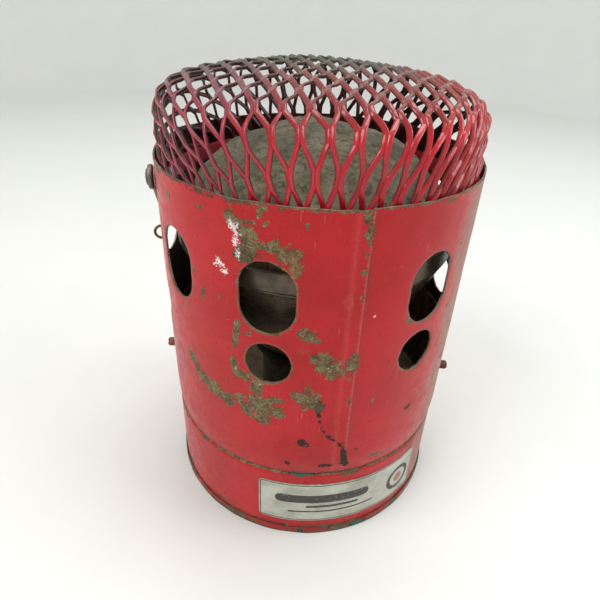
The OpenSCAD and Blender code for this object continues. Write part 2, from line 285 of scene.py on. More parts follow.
# ---- wear: where the paint is gone ----
# Each is azimuth, height, half width, half height, slant in degrees and tone. Tone 0 is olive and
# brown metal, 0.5 orange rust, -1 black scab and -2 a blue-green stain.

CHIPS = [
    (-24.3, 189, 2.7, 2.8, 0, 0), (-22.3, 185.5, 2.8, 4, 0, -0.3), (-19, 182, 4.4, 4.6, 0, 0),
    (-18.5, 177.6, 4.2, 3.6, 0, -0.3), (-19, 173, 5.4, 4.4, 0, -0.5), (-14.3, 178, 6.2, 1.9, 4, 0),
    (-10.6, 178.4, 3, 3.4, 0, 0.1), (-8.4, 174.6, 3.4, 2, 0, 0.3), (-6, 176, 4.8, 4.2, 0, 0.3),
    (-4.5, 170.4, 2.8, 4.8, 0, 0.7), (-15, 190.4, 1.1, 3.0, -15, 0), (-17.6, 187.4, 2.6, 0.9, 20, 0),
    (-19.4, 187, 1.4, 1.6, 0, 0), (-13, 187.6, 0.8, 1.6, 30, 0), (-36.3, 148, 2, 3.6, 10, 0),
    (-40, 157, 1.3, 1.8, 0, 0), (-29.5, 150, 0.8, 3, -10, 0.2), (-22.8, 136, 2, 5.4, 5, 0),
    (-24, 128, 1.7, 5.4, 5, 0), (-24.8, 115.5, 2.6, 4.4, 0, -0.3), (-21.5, 110.2, 6.2, 3.4, 10, 0),
    (-19, 135, 1.6, 1.6, 0, 0), (-45.6, 104, 3.2, 4.2, -25, 0), (-42.6, 99.2, 3.6, 4.8, -30, 0),
    (-38.8, 95.6, 6.6, 4.2, 28, 0), (-33, 93.2, 7.0, 4.6, 18, 0), (-27.8, 91.2, 5, 4.6, 30, 0),
    (-16.6, 104.8, 3.5, 5.2, 0, 0), (-15, 94.8, 7.2, 7.2, 0, 0), (-10.2, 99.6, 4.2, 2.8, 0, 0),
    (-20.8, 90, 3.6, 5.6, -20, 0), (-9.2, 93, 3.8, 4.6, 0, 0), (-14, 85.6, 4.6, 4.2, 0, 0),
    (-22.8, 94.4, 2.2, 3.2, 0, 0), (-0.4, 138.8, 4.6, 3.2, 20, 0), (2.8, 136, 2, 1.3, 0, 0),
    (1, 101.6, 5.8, 5.6, 0, 0.15), (-2.2, 104.6, 4.4, 3, 0, 0.1), (4.6, 98, 2.9, 4.4, 0, -0.55),
    (0.8, 108, 1.6, 3.6, 10, 0), (5.6, 124, 5.4, 5.4, 0, 0.1), (8.4, 119.6, 5, 4.6, 0, 0.05),
    (2.6, 127.6, 2.4, 1.8, 0, 0), (14.4, 123.4, 3.2, 7.6, 0, 0.05), (14, 192.5, 3, 3, 0, 0),
    (15, 186.5, 1.7, 6.5, 0, 0), (15.2, 178, 0.9, 3.4, 0, 0), (14.6, 169.4, 1.9, 1.3, 0, 0.3),
    (14.9, 158, 1.3, 1, 0, 0), (14.9, 100, 0.9, 3.6, 0, -0.2), (5, 91.8, 0.8, 1.6, 0, -1),
    (5.6, 88.2, 0.7, 1.4, 0, -1), (6.4, 85, 0.7, 1.9, -10, -1), (7.6, 81, 0.9, 2, -35, -1),
    (9.2, 78, 1.7, 1.3, 30, -1), (11, 75.6, 1.5, 1.1, 30, -1), (12.8, 72.8, 1.6, 1.4, 20, -1),
    (15, 66.5, 1.9, 6, 0, -0.8), (15.6, 60, 2.2, 4.4, 0, -0.8), (16.6, 56.5, 2.4, 2.4, 0, -0.8),
    (-0.2, 73.7, 2.5, 2.8, 0, -0.9), (2, 72.6, 1.3, 1.7, 0, -0.7), (8.9, 56.8, 3.8, 1.4, 0, -0.9),
    (-5.2, 58, 1.7, 1.5, 0, -0.8), (28, 57.6, 3.6, 1.5, 10, -0.1), (31.6, 55.5, 2.8, 1.6, 10, -0.1),
    (35, 56.4, 1.7, 1, 0, 0), (41, 83, 2.9, 1.6, -20, -0.6), (54.6, 137, 1, 1.4, 0, -0.8),
    (55, 170, 0.7, 0.7, 0, -0.8), (-2, 188.5, 1.4, 1.4, 0, -0.3), (-35, 188, 2.4, 1.2, 0, 0),
    (-50, 132, 1, 1, 0, 0), (-5, 150.5, 0.9, 0.9, 0, 0), (-14, 72, 0.9, 0.9, 0, 0.4),
    (-30, 60, 0.8, 0.8, 0, 0), (35, 141, 4, 2.6, 0, -0.1), (-52, 186, 2.4, 1.8, 0, -0.2),
    (62, 100, 1.4, 2.2, 0, 0), (24, 98, 0.8, 1.4, 0, 0), (46, 66, 2.4, 1, 0, 0),
    (-46, 194.7, 9, 1, 0, -0.5), (-34, 194.6, 9, 1.3, 0, -0.6), (-22, 194.8, 9, 1.2, 0, -0.5),
    (-14, 193.6, 2.2, 1.3, 0, -0.2), (-8, 194.6, 5, 1.1, 0, -0.3), (3, 194.8, 6, 0.9, 0, -0.3),
    (28, 194.8, 8, 0.8, 0, -0.4), (42, 194.2, 5, 1.2, 0, -0.3), (-60, 193.8, 4, 1.6, 0, -0.3),
    (-26, 60, 1, 0.8, 0, -0.6), (20, 66, 1.4, 1, 0, -0.5),
]
# Scuffs down to the white primer have no tone.
PRIMER = [
    (-23.4, 184.5, 3.2, 3.4, 0), (-22.0, 181, 2.4, 2.8, 0), (-22.6, 177.6, 2.2, 3.4, 0),
    (-22.0, 172.6, 1.8, 3.4, 0), (-28.9, 165.3, 3.8, 3.2, 30), (-26.9, 162.3, 2.4, 2.0, 0),
    (-26.4, 138.5, 1, 1.6, 0), (-23.6, 138, 0.9, 1.4, 0), (-24, 113, 1.2, 2, 0), (-15, 107, 1, 1.6, 0),
    (27, 169, 0.6, 1.6, 0), (20, 147, 0.8, 1.1, 20),
]
BACK_CHIPS = [
    (az, RNG.uniform(58, 190), w, w * RNG.uniform(0.5, 1.3), RNG.uniform(-40, 40),
     RNG.choice([0, 0, 0.3, -0.5]))
    for az, w in zip(RNG.uniform(72, 288, 46), RNG.lognormal(0.75, 0.6, 46))
]
TANK_CHIPS = [
    (-34, 8, 5, 1.4, 0, -0.2), (-28, 10.5, 2.2, 1.2, 0, -0.4), (0.2, 48.2, 3.4, 1, 0, -2),
    (-12, 3, 5, 2.2, 0, -2), (-60, 46.5, 2, 1, 0, -0.5), (-44, 47, 4, 0.9, 0, -0.5),
    (20, 47.5, 7, 0.9, 0, -0.4), (48, 46.5, 8, 1.1, 0, -0.1), (60, 20, 1.2, 1.2, 0, -0.3),
    (-50, 24, 0.8, 0.8, 0, -0.3), (-22, 33, 0.6, 0.9, 0, -0.3), (64, 40, 3, 1, 0, 0),
    (100, 30, 5, 3, 0, 0.3), (135, 14, 7, 4, 0, 0), (170, 36, 3, 3, 0, 0), (205, 12, 6, 3, 0, 0.2),
    (240, 40, 4, 3, 0, 0), (262, 20, 2, 3, 0, 0), (300, 9, 4, 2, 0, -0.2), (150, 44, 8, 1.4, 0, -0.3),
    (222, 46, 9, 1.2, 0, -0.3),
]


def arc_length(az):
    """How far round the sleeve an azimuth lies from the front."""
    return turn(az) * math.radians(1) * SLEEVE_R


def hole_gap(az, z, holes):
    """Distance to the nearest of these holes' edges, less than 0 inside."""
    best = np.full(np.shape(az), 1e3)
    for h_az, h_z, w, h in holes:
        dz = np.maximum(np.abs(z - h_z) - (h - w) / 2, 0)
        best = np.minimum(best, np.hypot(arc_length(az - h_az), dz) - w / 2)
    return best


def depth_in(az, z, c_az, c_z, w, h, slant):
    """How deep each point lies in a slanted oval: 1 in its middle, 0 at its edge."""
    du, dz = arc_length(az - c_az), z - c_z
    c, s = math.cos(math.radians(slant)), math.sin(math.radians(slant))
    return 1 - np.hypot((du * c - dz * s) / w, (du * s + dz * c) / h)


def chip_marks(az, z, chips):
    """How deep each point lies in the nearest chip, and that chip's tone."""
    depth = np.full(np.shape(az), -1.0)
    tone = np.zeros(np.shape(az))
    for *chip, c_tone in chips:
        here = depth_in(az, z, *chip)
        tone = np.where(here > depth, c_tone, tone)
        depth = np.maximum(depth, here)
    return depth, tone


# ---- materials ----

class Graph:
    """A material's node tree, and short ways to add to it. Places in a shader are in metres."""

    def __init__(self, name):
        self.material = bpy.data.materials.new(name)
        self.material.use_nodes = True
        self.tree = self.material.node_tree
        self.tree.nodes.clear()
        self.place = self.node("ShaderNodeTexCoord").outputs["Object"]

    def node(self, kind, inputs=None, **settings):
        n = self.tree.nodes.new(kind)
        for key, value in settings.items():
            setattr(n, key, value)
        for key, value in (inputs or {}).items():
            self.put(n.inputs[key], value)
        return n

    def put(self, socket, value):
        if isinstance(value, bpy.types.NodeSocket):
            self.tree.links.new(value, socket)
        else:
            socket.default_value = value

    def math(self, op, a, b=0.0):
        return self.node("ShaderNodeMath", {0: a, 1: b}, operation=op).outputs[0]

    def add(self, a, b):
        return self.math("ADD", a, b)

    def times(self, a, b):
        return self.math("MULTIPLY", a, b)

    def most(self, a, b):
        return self.math("MAXIMUM", a, b)

    def rest(self, x):
        """What x leaves of 1."""
        return self.math("SUBTRACT", 1.0, x)

    def sway(self, x, by):
        """Noise of 0..1 moved to swing about 0, by wide in all."""
        return self.times(self.add(x, -0.5), by)

    def length(self, a, b):
        return self.math("SQRT", self.add(self.times(a, a), self.times(b, b)))

    def mark(self, key):
        return self.node("ShaderNodeAttribute", attribute_name=key, attribute_type="GEOMETRY").outputs["Fac"]

    def noise(self, size, detail=3.0, rough=0.55, bend=0.0, place=None):
        """Noise about 0..1 whose blobs are about size millimetres."""
        n = self.node("ShaderNodeTexNoise", {
            "Vector": place or self.place, "Scale": 1.0 / (size * MM), "Detail": detail,
            "Roughness": rough, "Distortion": bend,
        })
        return n.outputs["Fac"]

    def stretched(self, x, y, z):
        """The place of each point, scaled along each axis."""
        return self.node("ShaderNodeMapping", {"Vector": self.place, "Scale": (x, y, z)}).outputs[0]

    def rise(self, x, a, b, low=0.0, high=1.0):
        """low where x is a, high where it is b, smooth between."""
        n = self.node("ShaderNodeMapRange", {
            "Value": x, "From Min": a, "From Max": b, "To Min": low, "To Max": high,
        }, interpolation_type="SMOOTHSTEP")
        return n.outputs["Result"]

    def colour(self, c):
        return c if isinstance(c, bpy.types.NodeSocket) else (*c, 1.0)

    def blend(self, amount, a, b):
        """Colour a where amount is 0, b where it is 1."""
        n = self.node("ShaderNodeMix", data_type="RGBA")
        for socket, value in ((0, amount), (6, self.colour(a)), (7, self.colour(b))):
            self.put(n.inputs[socket], value)
        return n.outputs[2]

    def split(self):
        return self.node("ShaderNodeSeparateXYZ", {0: self.place}).outputs[:3]

    def finish(self, colour, rough, metal, height, depth, coat=0.0, coat_rough=0.1, sheen=0.0,
               level=0.5):
        """Ends the tree in one principled shader. depth is how many millimetres height 1 stands up."""
        bump = self.node("ShaderNodeBump", {"Height": height, "Distance": depth * MM, "Strength": 1.0})
        shader = self.node("ShaderNodeBsdfPrincipled", {
            "Base Color": self.colour(colour), "Roughness": rough, "Metallic": metal, "Coat Weight": coat,
            "Coat Roughness": coat_rough, "Sheen Weight": sheen, "Specular IOR Level": level,
            "Normal": bump.outputs[0],
        })
        out = self.node("ShaderNodeOutputMaterial", {"Surface": shader.outputs[0]})
        self.tree.nodes.active = out
        return self.material


def scaled(colour, by):
    return tuple(min(1, by * c) for c in colour)


def sleeve_paint(name, red, deep):
    """Old red enamel over sheet, chipped to olive, brown and rusty metal."""
    g = Graph(name)
    broad, middle, fine = g.noise(38), g.noise(4.2, 5, 0.62), g.noise(1.1, 4, 0.65)
    ragged = g.add(g.sway(middle, 2.1), g.sway(fine, 1.9))
    chip = g.rise(g.add(g.mark("chip"), ragged), 0.0, 0.07)
    edge = g.add(g.mark("rim"), g.add(g.sway(fine, 1.2), g.sway(middle, 1.5)))
    rim = g.times(g.rise(edge, 0.5, 0.62), g.rise(g.mark("rim"), 0.05, 0.25))
    specks = g.rise(g.add(g.noise(2.6, 6, 0.7), g.sway(broad, 0.35)), 0.735, 0.76)
    bare = g.most(g.most(chip, rim), specks)
    tone = g.mark("tone")

    paint = g.blend(g.rise(broad, 0.3, 0.7), red, deep)
    paint = g.blend(g.times(g.rise(g.noise(7, 4), 0.45, 0.8), 0.22), paint, scaled(deep, 0.5))
    paint = g.blend(g.times(g.rise(g.noise(0.7, 2), 0.4, 0.9), 0.16), paint, (0.5, 0.12, 0.12))
    # The right side's tan: partly a dusting, partly a painted sheen of light from the right.
    dust_and_sheen = g.rise(g.add(g.mark("dust_and_sheen"), g.sway(g.noise(12, 6, 0.62), 1.5)), 0.1, 1.05, 0.0, 0.88)
    paint = g.blend(dust_and_sheen, paint, g.blend(middle, (0.205, 0.118, 0.088), (0.30, 0.20, 0.148)))
    scratch = g.noise(2.2, 3, 0.6, 0.0, g.stretched(1, 1, 0.12))
    paint = g.blend(g.times(g.rise(scratch, 0.68, 0.75), 0.5), paint, (0.52, 0.17, 0.16))
    paint = g.blend(g.times(g.mark("worn"), g.rise(fine, 0.2, 0.6)), paint, (0.62, 0.20, 0.17))
    # Darkens the paint: dirt, and painted shade in grooves and beside the lap seam's step.
    grime_and_shade = g.times(g.mark("grime_and_shade"), g.rise(middle, 0.2, 0.7))
    paint = g.blend(grime_and_shade, paint, (0.05, 0.022, 0.02))

    metal = g.blend(g.rise(middle, 0.35, 0.62), (0.085, 0.058, 0.026), (0.20, 0.155, 0.075))
    metal = g.blend(g.rise(g.noise(5, 4, 0.7), 0.54, 0.64), metal, (0.155, 0.058, 0.030))
    metal = g.blend(g.rise(g.noise(1.5, 4, 0.7), 0.50, 0.62, 0.0, 0.8), metal, (0.060, 0.040, 0.020))
    metal = g.blend(g.rise(g.noise(1.0, 4, 0.7), 0.55, 0.68), metal, (0.36, 0.33, 0.235))
    rust = g.times(g.rise(tone, 0.1, 0.6), g.rise(g.noise(2.6, 5, 0.7), 0.4, 0.62, 0.15, 0.9))
    metal = g.blend(rust, metal, g.blend(g.rise(fine, 0.4, 0.6), (0.15, 0.062, 0.022), (0.33, 0.15, 0.05)))
    metal = g.blend(g.rise(tone, -0.2, -0.8), metal, (0.035, 0.02, 0.016))
    metal = g.blend(g.rise(tone, -1.4, -1.8), metal, (0.02, 0.12, 0.09))
    colour = g.blend(bare, paint, metal)
    fleck = g.add(g.sway(g.noise(0.8, 3, 0.7), 2.6), g.sway(g.noise(2.2, 4, 0.7), 3.4))
    colour = g.blend(g.rise(g.add(g.mark("white"), fleck), 0.48, 0.66), colour, (0.70, 0.66, 0.64))

    rough = g.rise(g.noise(5, 4), 0.3, 0.8, 0.27, 0.48)
    rough = g.add(g.times(rough, g.rest(bare)), g.times(g.rise(fine, 0.3, 0.8, 0.55, 0.9), bare))
    rough = g.add(rough, g.times(dust_and_sheen, 0.18))
    height = g.add(g.times(g.rest(bare), 0.8), g.times(g.noise(1.6, 2), 0.12))
    height = g.add(height, g.times(g.times(fine, bare), 0.8))
    height = g.add(height, g.times(g.noise(13, 2), 0.9))
    return g.finish(colour, rough, g.times(bare, 0.25), height, 0.16, coat=0.05, coat_rough=0.15, level=0.22)


def guard_paint(name):
    """Glossy crimson on the wires, scorched grey-brown over the crown, worn through on the corners, whose
    dark brown is also painted shade. The inward faces are darkened as painted shade, the left side takes a
    painted plum sheen and pale flecks are painted glints.
    """
    g = Graph(name)
    x, y, z = g.split()
    middle, fine = g.noise(9, 4, 0.6), g.noise(1.4, 4, 0.65)
    cloud = g.sway(middle, 1.3)
    crown = g.rise(z, 0.2185, 0.230)
    rear = g.rise(g.add(g.times(y, 20.0), cloud), -1.0, 0.3)
    scorch = g.times(g.times(crown, g.rise(x, 0.062, 0.022)), rear)
    smoke = g.times(g.rise(z, 0.217, 0.2315), g.rise(cloud, -0.9, 0.0))
    red = g.blend(g.rise(g.noise(16), 0.35, 0.7), (0.44, 0.014, 0.024), (0.33, 0.010, 0.018))
    # Painted sheen: the left side and its crown tinted plum, a painted bluish reflection over the red.
    painted_plum_sheen = g.rise(g.add(g.times(x, -14.0), cloud), 0.0, 0.75)
    red = g.blend(g.times(painted_plum_sheen, 0.6), red, (0.24, 0.026, 0.06))
    dusty = g.rise(g.add(g.times(x, 18.0), cloud), 0.7, 1.5)
    red = g.blend(g.times(dusty, 0.45), red, (0.30, 0.052, 0.040))
    red = g.blend(g.times(smoke, 0.8), red, g.blend(painted_plum_sheen, (0.125, 0.033, 0.028), (0.115, 0.034, 0.054)))
    burnt = g.blend(g.rise(fine, 0.35, 0.7), (0.040, 0.041, 0.030), (0.090, 0.083, 0.062))
    burnt = g.blend(g.rise(g.noise(4, 3), 0.5, 0.7), burnt, (0.12, 0.055, 0.045))
    paint = g.blend(scorch, red, burnt)
    # The strand edges darkened brown: partly worn paint, partly painted shade on their side faces.
    rubbed_and_shaded = g.rise(g.add(g.mark("corner"), g.sway(g.noise(3, 5, 0.7), 2.4)), 0.72, 1.1)
    paint = g.blend(g.times(rubbed_and_shaded, 0.72), paint, (0.10, 0.032, 0.018))
    # Pale flecks on the strands: painted glints.
    fleck = g.rise(g.add(g.noise(1.5, 5, 0.72), g.times(cloud, 0.1)), 0.70, 0.75)
    paint = g.blend(g.times(fleck, 0.9), paint, (0.56, 0.44, 0.42))
    # Painted shade: each wire's inward face darkened almost to black.
    inner = g.rise(g.mark("inner"), 0.35, 0.85)
    paint = g.blend(g.times(inner, 0.93), paint, (0.022, 0.009, 0.009))
    rough = g.add(g.times(g.most(g.times(scorch, 0.8), rubbed_and_shaded), 0.42), g.rise(fine, 0.3, 0.8, 0.14, 0.3))
    height = g.add(g.times(g.noise(2.4, 3), 0.8), g.times(g.times(fine, scorch), 0.8))
    return g.finish(paint, rough, 0.0, height, 0.26, coat=0.22, coat_rough=0.04, level=0.36)


def inside_wall(name):
    """The sleeve's inner face: thin red paint over brown sheet, darkened nearly to black as painted shade."""
    g = Graph(name)
    a, b = g.noise(14, 5, 0.6), g.noise(1.6, 4, 0.65)
    colour = g.blend(g.rise(a, 0.35, 0.65), (0.062, 0.014, 0.013), (0.028, 0.012, 0.01))
    colour = g.blend(g.rise(b, 0.55, 0.72), colour, (0.10, 0.05, 0.03))
    return g.finish(colour, g.rise(b, 0.3, 0.8, 0.45, 0.8), 0.1, g.add(a, g.times(b, 0.6)), 0.15)


def old_metal(name, clean, dull, rust, amount, shine=0.7, rough=(0.3, 0.55), grain=1.0, low=None):
    """Plain metal gone dull, with rust over a share of it. low is its colour below about 0.12 m."""
    g = Graph(name)
    a, b, c = g.noise(8, 5, 0.62), g.noise(1.3, 4, 0.65), g.noise(0.5, 2)
    base = g.blend(g.rise(a, 0.35, 0.68), clean, dull)
    if low:
        base = g.blend(g.rise(g.split()[2], 0.132, 0.112), base, low)
    rusty = g.rise(g.add(a, g.sway(b, 0.7)), 0.86 - amount * 0.6, 0.96 - amount * 0.6)
    base = g.blend(rusty, base, g.blend(g.rise(b, 0.4, 0.65), rust, scaled(rust, 0.45)))
    metal = g.times(g.rest(rusty), shine)
    r = g.add(g.rise(b, 0.3, 0.8, rough[0], rough[1]), g.times(rusty, 0.3))
    height = g.add(g.times(b, 0.6), g.add(g.times(c, 0.2), g.times(rusty, 0.5)))
    return g.finish(base, r, metal, height, 0.12 * grain)


def felt(name, pale, mid, dark, size, stained):
    """Matted fibre."""
    g = Graph(name)
    blotch, tuft = g.noise(16 * size, 5, 0.6, 0.6), g.noise(2.6 * size, 5, 0.68, 0.8)
    hair, burr = g.noise(0.6 * size, 3, 0.7, 1.5), g.noise(5 * size, 6, 0.7)
    colour = g.blend(g.rise(blotch, 0.36, 0.62), mid, pale)
    colour = g.blend(g.times(g.rise(tuft, 0.46, 0.66), stained), colour, dark)
    colour = g.blend(g.rise(burr, 0.55, 0.68, 0.0, 0.7), colour, scaled(dark, 0.6))
    colour = g.blend(g.rise(hair, 0.55, 0.8, 0.0, 0.45), colour, scaled(pale, 1.5))
    height = g.add(g.times(tuft, 1.0), g.times(hair, 0.5))
    return g.finish(colour, 0.95, 0.0, height, 0.9 * size, sheen=0.15, level=0.2)


def label_print(name):
    """Scuffed silver-grey sticker with a plain bar, two thin rules, a ring and a dot: no lettering."""
    g = Graph(name)
    u, v = g.mark("across"), g.mark("up")
    warp = g.sway(g.noise(5, 3), 0.35)
    u, v = g.add(u, warp), g.add(v, warp)
    soft = 0.35
    ring_u, ring_v = 84, 14.2

    def bar(u0, u1, v0, half):
        """1 inside a bar with round ends."""
        mid, reach = (u0 + u1) / 2, (u1 - u0) / 2 - half
        du = g.most(g.add(g.math("ABSOLUTE", g.add(u, -mid)), -reach), 0.0)
        return g.rise(g.length(du, g.add(v, -v0)), half, half - soft)

    def disc(r):
        return g.rise(g.length(g.add(u, -ring_u), g.add(v, -ring_v)), r, r - soft)

    ring = g.times(disc(9.2), g.rest(disc(6.6)))
    ink = g.most(g.most(bar(9, 62, 18.6, 3.4), bar(16, 66, 8.0, 0.8)), g.most(bar(26, 56, 12.2, 1.1), ring))
    edge = g.mark("border")
    ink = g.most(ink, g.times(g.rise(edge, 1.4, 1.1), g.rise(edge, 0.5, 0.8)))
    blot = g.noise(11, 5, 0.6)
    ground = g.blend(g.rise(blot, 0.35, 0.7), (0.50, 0.50, 0.43), (0.34, 0.345, 0.29))
    worn = g.rise(g.add(g.noise(1.6, 5, 0.7), g.sway(blot, 0.4)), 0.60, 0.68)
    ink = g.times(ink, g.rise(worn, 0.0, 1.0, 0.96, 0.35))
    colour = g.blend(ink, ground, (0.035, 0.034, 0.032))
    colour = g.blend(g.times(disc(3.6), 0.8), colour, (0.36, 0.07, 0.06))
    colour = g.blend(g.times(worn, 0.35), colour, (0.28, 0.25, 0.19))
    dirt = g.rise(g.add(edge, g.times(g.noise(2, 4), 1.6)), 1.3, 0.7, 0.0, 0.7)
    colour = g.blend(dirt, colour, (0.16, 0.12, 0.085))
    height = g.add(g.noise(6, 3), g.times(worn, 0.4))
    return g.finish(colour, g.rise(blot, 0.3, 0.8, 0.42, 0.6), 0.0, height, 0.06, level=0.25)


def rubber(name):
    g = Graph(name)
    a = g.noise(2.5, 4, 0.65)
    colour = g.blend(a, (0.02, 0.019, 0.018), (0.05, 0.046, 0.042))
    return g.finish(colour, g.rise(a, 0.3, 0.7, 0.6, 0.9), 0.0, a, 0.15)


# The lighter red's blue is raised a little as a painted cool reflection.
RED = sleeve_paint("red_enamel", (0.46, 0.0098, 0.0150), (0.36, 0.0068, 0.0085))
CRIMSON = guard_paint("crimson_gloss")
SHADED_INSIDE = inside_wall("shaded_inner_face")
PLATE = old_metal("dull_plate", (0.34, 0.32, 0.28), (0.20, 0.18, 0.15), (0.13, 0.055, 0.025), 0.35)
BURNT = old_metal("burnt_steel", (0.115, 0.083, 0.054), (0.048, 0.034, 0.024), (0.10, 0.046, 0.025), 0.3,
                  shine=0.45, rough=(0.3, 0.5))
BOWL = old_metal("smoked_bowl", (0.125, 0.088, 0.056), (0.045, 0.031, 0.022), (0.09, 0.040, 0.022), 0.3,
                 shine=0.4, rough=(0.24, 0.46), grain=1.3, low=(0.52, 0.40, 0.26))
RUSTY = old_metal("rusty_steel", (0.17, 0.12, 0.085), (0.10, 0.06, 0.04), (0.16, 0.065, 0.028), 0.7,
                  shine=0.4, rough=(0.5, 0.75), grain=1.6)
CHIME = old_metal("worn_chime", (0.12, 0.085, 0.06), (0.06, 0.04, 0.03), (0.10, 0.035, 0.02), 0.55,
                  shine=0.4, rough=(0.5, 0.75), grain=1.4)
WIRE = old_metal("grey_wire", (0.19, 0.17, 0.145), (0.10, 0.085, 0.07), (0.13, 0.06, 0.03), 0.35,
                 rough=(0.35, 0.6))
EDGE = old_metal("cut_edge", (0.30, 0.25, 0.18), (0.16, 0.11, 0.07), (0.16, 0.07, 0.03), 0.6,
                 shine=0.5, rough=(0.4, 0.7))
IRON = old_metal("dark_iron", (0.09, 0.08, 0.07), (0.05, 0.043, 0.037), (0.09, 0.04, 0.02), 0.4,
                 shine=0.5, rough=(0.45, 0.7))
LID = old_metal("tan_lid", (0.48, 0.38, 0.25), (0.34, 0.26, 0.17), (0.16, 0.075, 0.035), 0.3,
                shine=0.1, rough=(0.5, 0.8))
SCREW = old_metal("rusty_screw", (0.20, 0.085, 0.06), (0.11, 0.045, 0.034), (0.17, 0.06, 0.03), 0.7,
                  shine=0.3, rough=(0.5, 0.75), grain=1.6)
PAD = felt("burnt_pad", (0.25, 0.205, 0.135), (0.125, 0.118, 0.070), (0.040, 0.046, 0.022), 1.0, 0.85)
WOOL = felt("wadding", (0.62, 0.55, 0.42), (0.48, 0.41, 0.30), (0.30, 0.25, 0.17), 0.8, 0.4)
COTTON = felt("wick_cotton", (0.60, 0.52, 0.38), (0.47, 0.39, 0.27), (0.24, 0.18, 0.11), 0.5, 0.5)
LABEL = label_print("label_print")
GASKET = rubber("gasket")


# ---- tank ----

def arc(c, r, a0, a1, n=8):
    angles = np.radians(np.linspace(a0, a1, n))
    return [(c[0] + r * math.cos(a), c[1] + r * math.sin(a)) for a in angles]


def dust_and_sheen_at(az):
    """Tan down the right side, partly a dusting and partly a painted sheen of light from the right, and a
    trace of it at the back.
    """
    return 0.95 * (smooth(az, 40, 68) * (1 - 0.9 * smooth(az, 84, 135)) + 0.1 * smooth(-az, 110, 172))


def outer_marks(verts, chips, primer=(), edges=()):
    """Wear marks of painted sheet at these points, with the right side's dusting and painted sheen. edges are
    heights, with how far wear reaches from each.
    """
    az, z = np.degrees(np.arctan2(verts[:, 0], -verts[:, 1])), verts[:, 2]
    depth, tone = chip_marks(az, z, chips)
    white, _ = chip_marks(az, z, [(*scuff, 0) for scuff in primer])
    none = np.zeros(len(az))
    rim = none
    for level, reach in edges:
        rim = np.maximum(rim, 1 - np.abs(z - level) / reach)
    return {"chip": depth, "tone": tone, "white": white, "rim": np.clip(rim, 0, 1),
            "dust_and_sheen": dust_and_sheen_at(az), "grime_and_shade": none, "worn": none}


def make_tank():
    corner = (TANK_R - SHOULDER, TANK_H - SHOULDER)
    inside_r = TANK_R - TANK_T
    wall = [(inside_r, TANK_FOOT), (TANK_R, TANK_FOOT)]
    wall += arc(corner, SHOULDER, 0, 90) + [(corner[0] - 2, TANK_H), (corner[0] - 2, TANK_H - TANK_T)]
    wall += arc(corner, SHOULDER - TANK_T, 90, 0)
    v, f = turned(wall, round_by=0.15, step=1.6, around_n=300, rough=0.09, rough_size=30, seed=3)
    marks = outer_marks(v, TANK_CHIPS, edges=[(CHIME_H + 0.4, 1.6), (TANK_H - 0.4, 1.5)])
    r = np.hypot(v[:, 0], v[:, 1])
    # Darker towards the foot, just above the chime, and on the top inward of the shoulder.
    marks["grime_and_shade"] = np.clip(smooth(v[:, 2], 7.5, 4.8) + smooth(r, 78.9, 77.4), 0, 1) * 0.9
    piece("tank_wall", v, f, [RED], "root", ["tank_shell"], "tank_paint", marks, sharp=50)

    inner, wall = TANK_R - 2.2, TANK_R + 0.06
    chime = [(inner, 0.0), (CHIME_R, 0.0), (CHIME_R, 2.0), (CHIME_R - 0.15, CHIME_H), (wall, CHIME_H),
             (wall, TANK_FOOT + 0.05), (inner, TANK_FOOT + 0.05)]
    v, f = turned(chime, round_by=0.75, step=0.8, around_n=300, rough=0.1, rough_size=9, seed=5)
    v[:, 2] = np.maximum(v[:, 2], 0)
    marks = outer_marks(v, [])
    marks["chip"] = 0.08 + 0.30 * wobble(v, 14, 8) + 0.35 * smooth(v[:, 2], 2.4, 0.6)
    marks["tone"] = np.where(wobble(v, 9, 12) > 1.0, -2.0, -0.45)
    marks["grime_and_shade"] = np.full(len(v), 0.55)
    piece("tank_chime", v, f, [RED], "root", ["bottom_seam"], "worn_steel", marks)


# ---- sleeve ----

# Dents: azimuth, height, half width, half height, and how far out.
DENTS = [
    (-31, 172, 14, 16, -0.55), (-24, 184, 9, 10, 0.35), (-46, 150, 16, 26, -0.35), (30, 100, 22, 26, -0.3),
    (-5, 70, 26, 12, 0.25), (55, 150, 16, 30, -0.25), (130, 110, 24, 30, -0.5), (200, 150, 20, 22, 0.35),
    (250, 90, 26, 22, -0.4),
]
GRID = 1.7
NIBBLE = 0.95


def sleeve_outside(az, z):
    """Outer radius of the sleeve at each point, with its necked foot, its lap seam and its dents."""
    necked = np.clip((NECK_TOP - z) / (NECK_TOP - SLEEVE_FOOT), 0, 1)
    lap = smooth(az, SEAM[0], SEAM[1]) * (1 - smooth(az, SEAM[2], SEAM[3]))
    r = SLEEVE_R - NECKING * (1 - np.cos(necked * math.pi / 2))
    r = r + SEAM_T * lap * smooth(z, SLEEVE_FOOT + 1, NECK_TOP)
    r = r + 0.16 * bell(az - 13.2, 1.1) * smooth(z, NECK_TOP, NECK_TOP + 8)
    for d_az, d_z, w, h, out in DENTS:
        r = r + out * bell(arc_length(az - d_az), w) * bell(z - d_z, h)
    return r + 0.08 * wobble(around(az, SLEEVE_R, z), 26, 21)


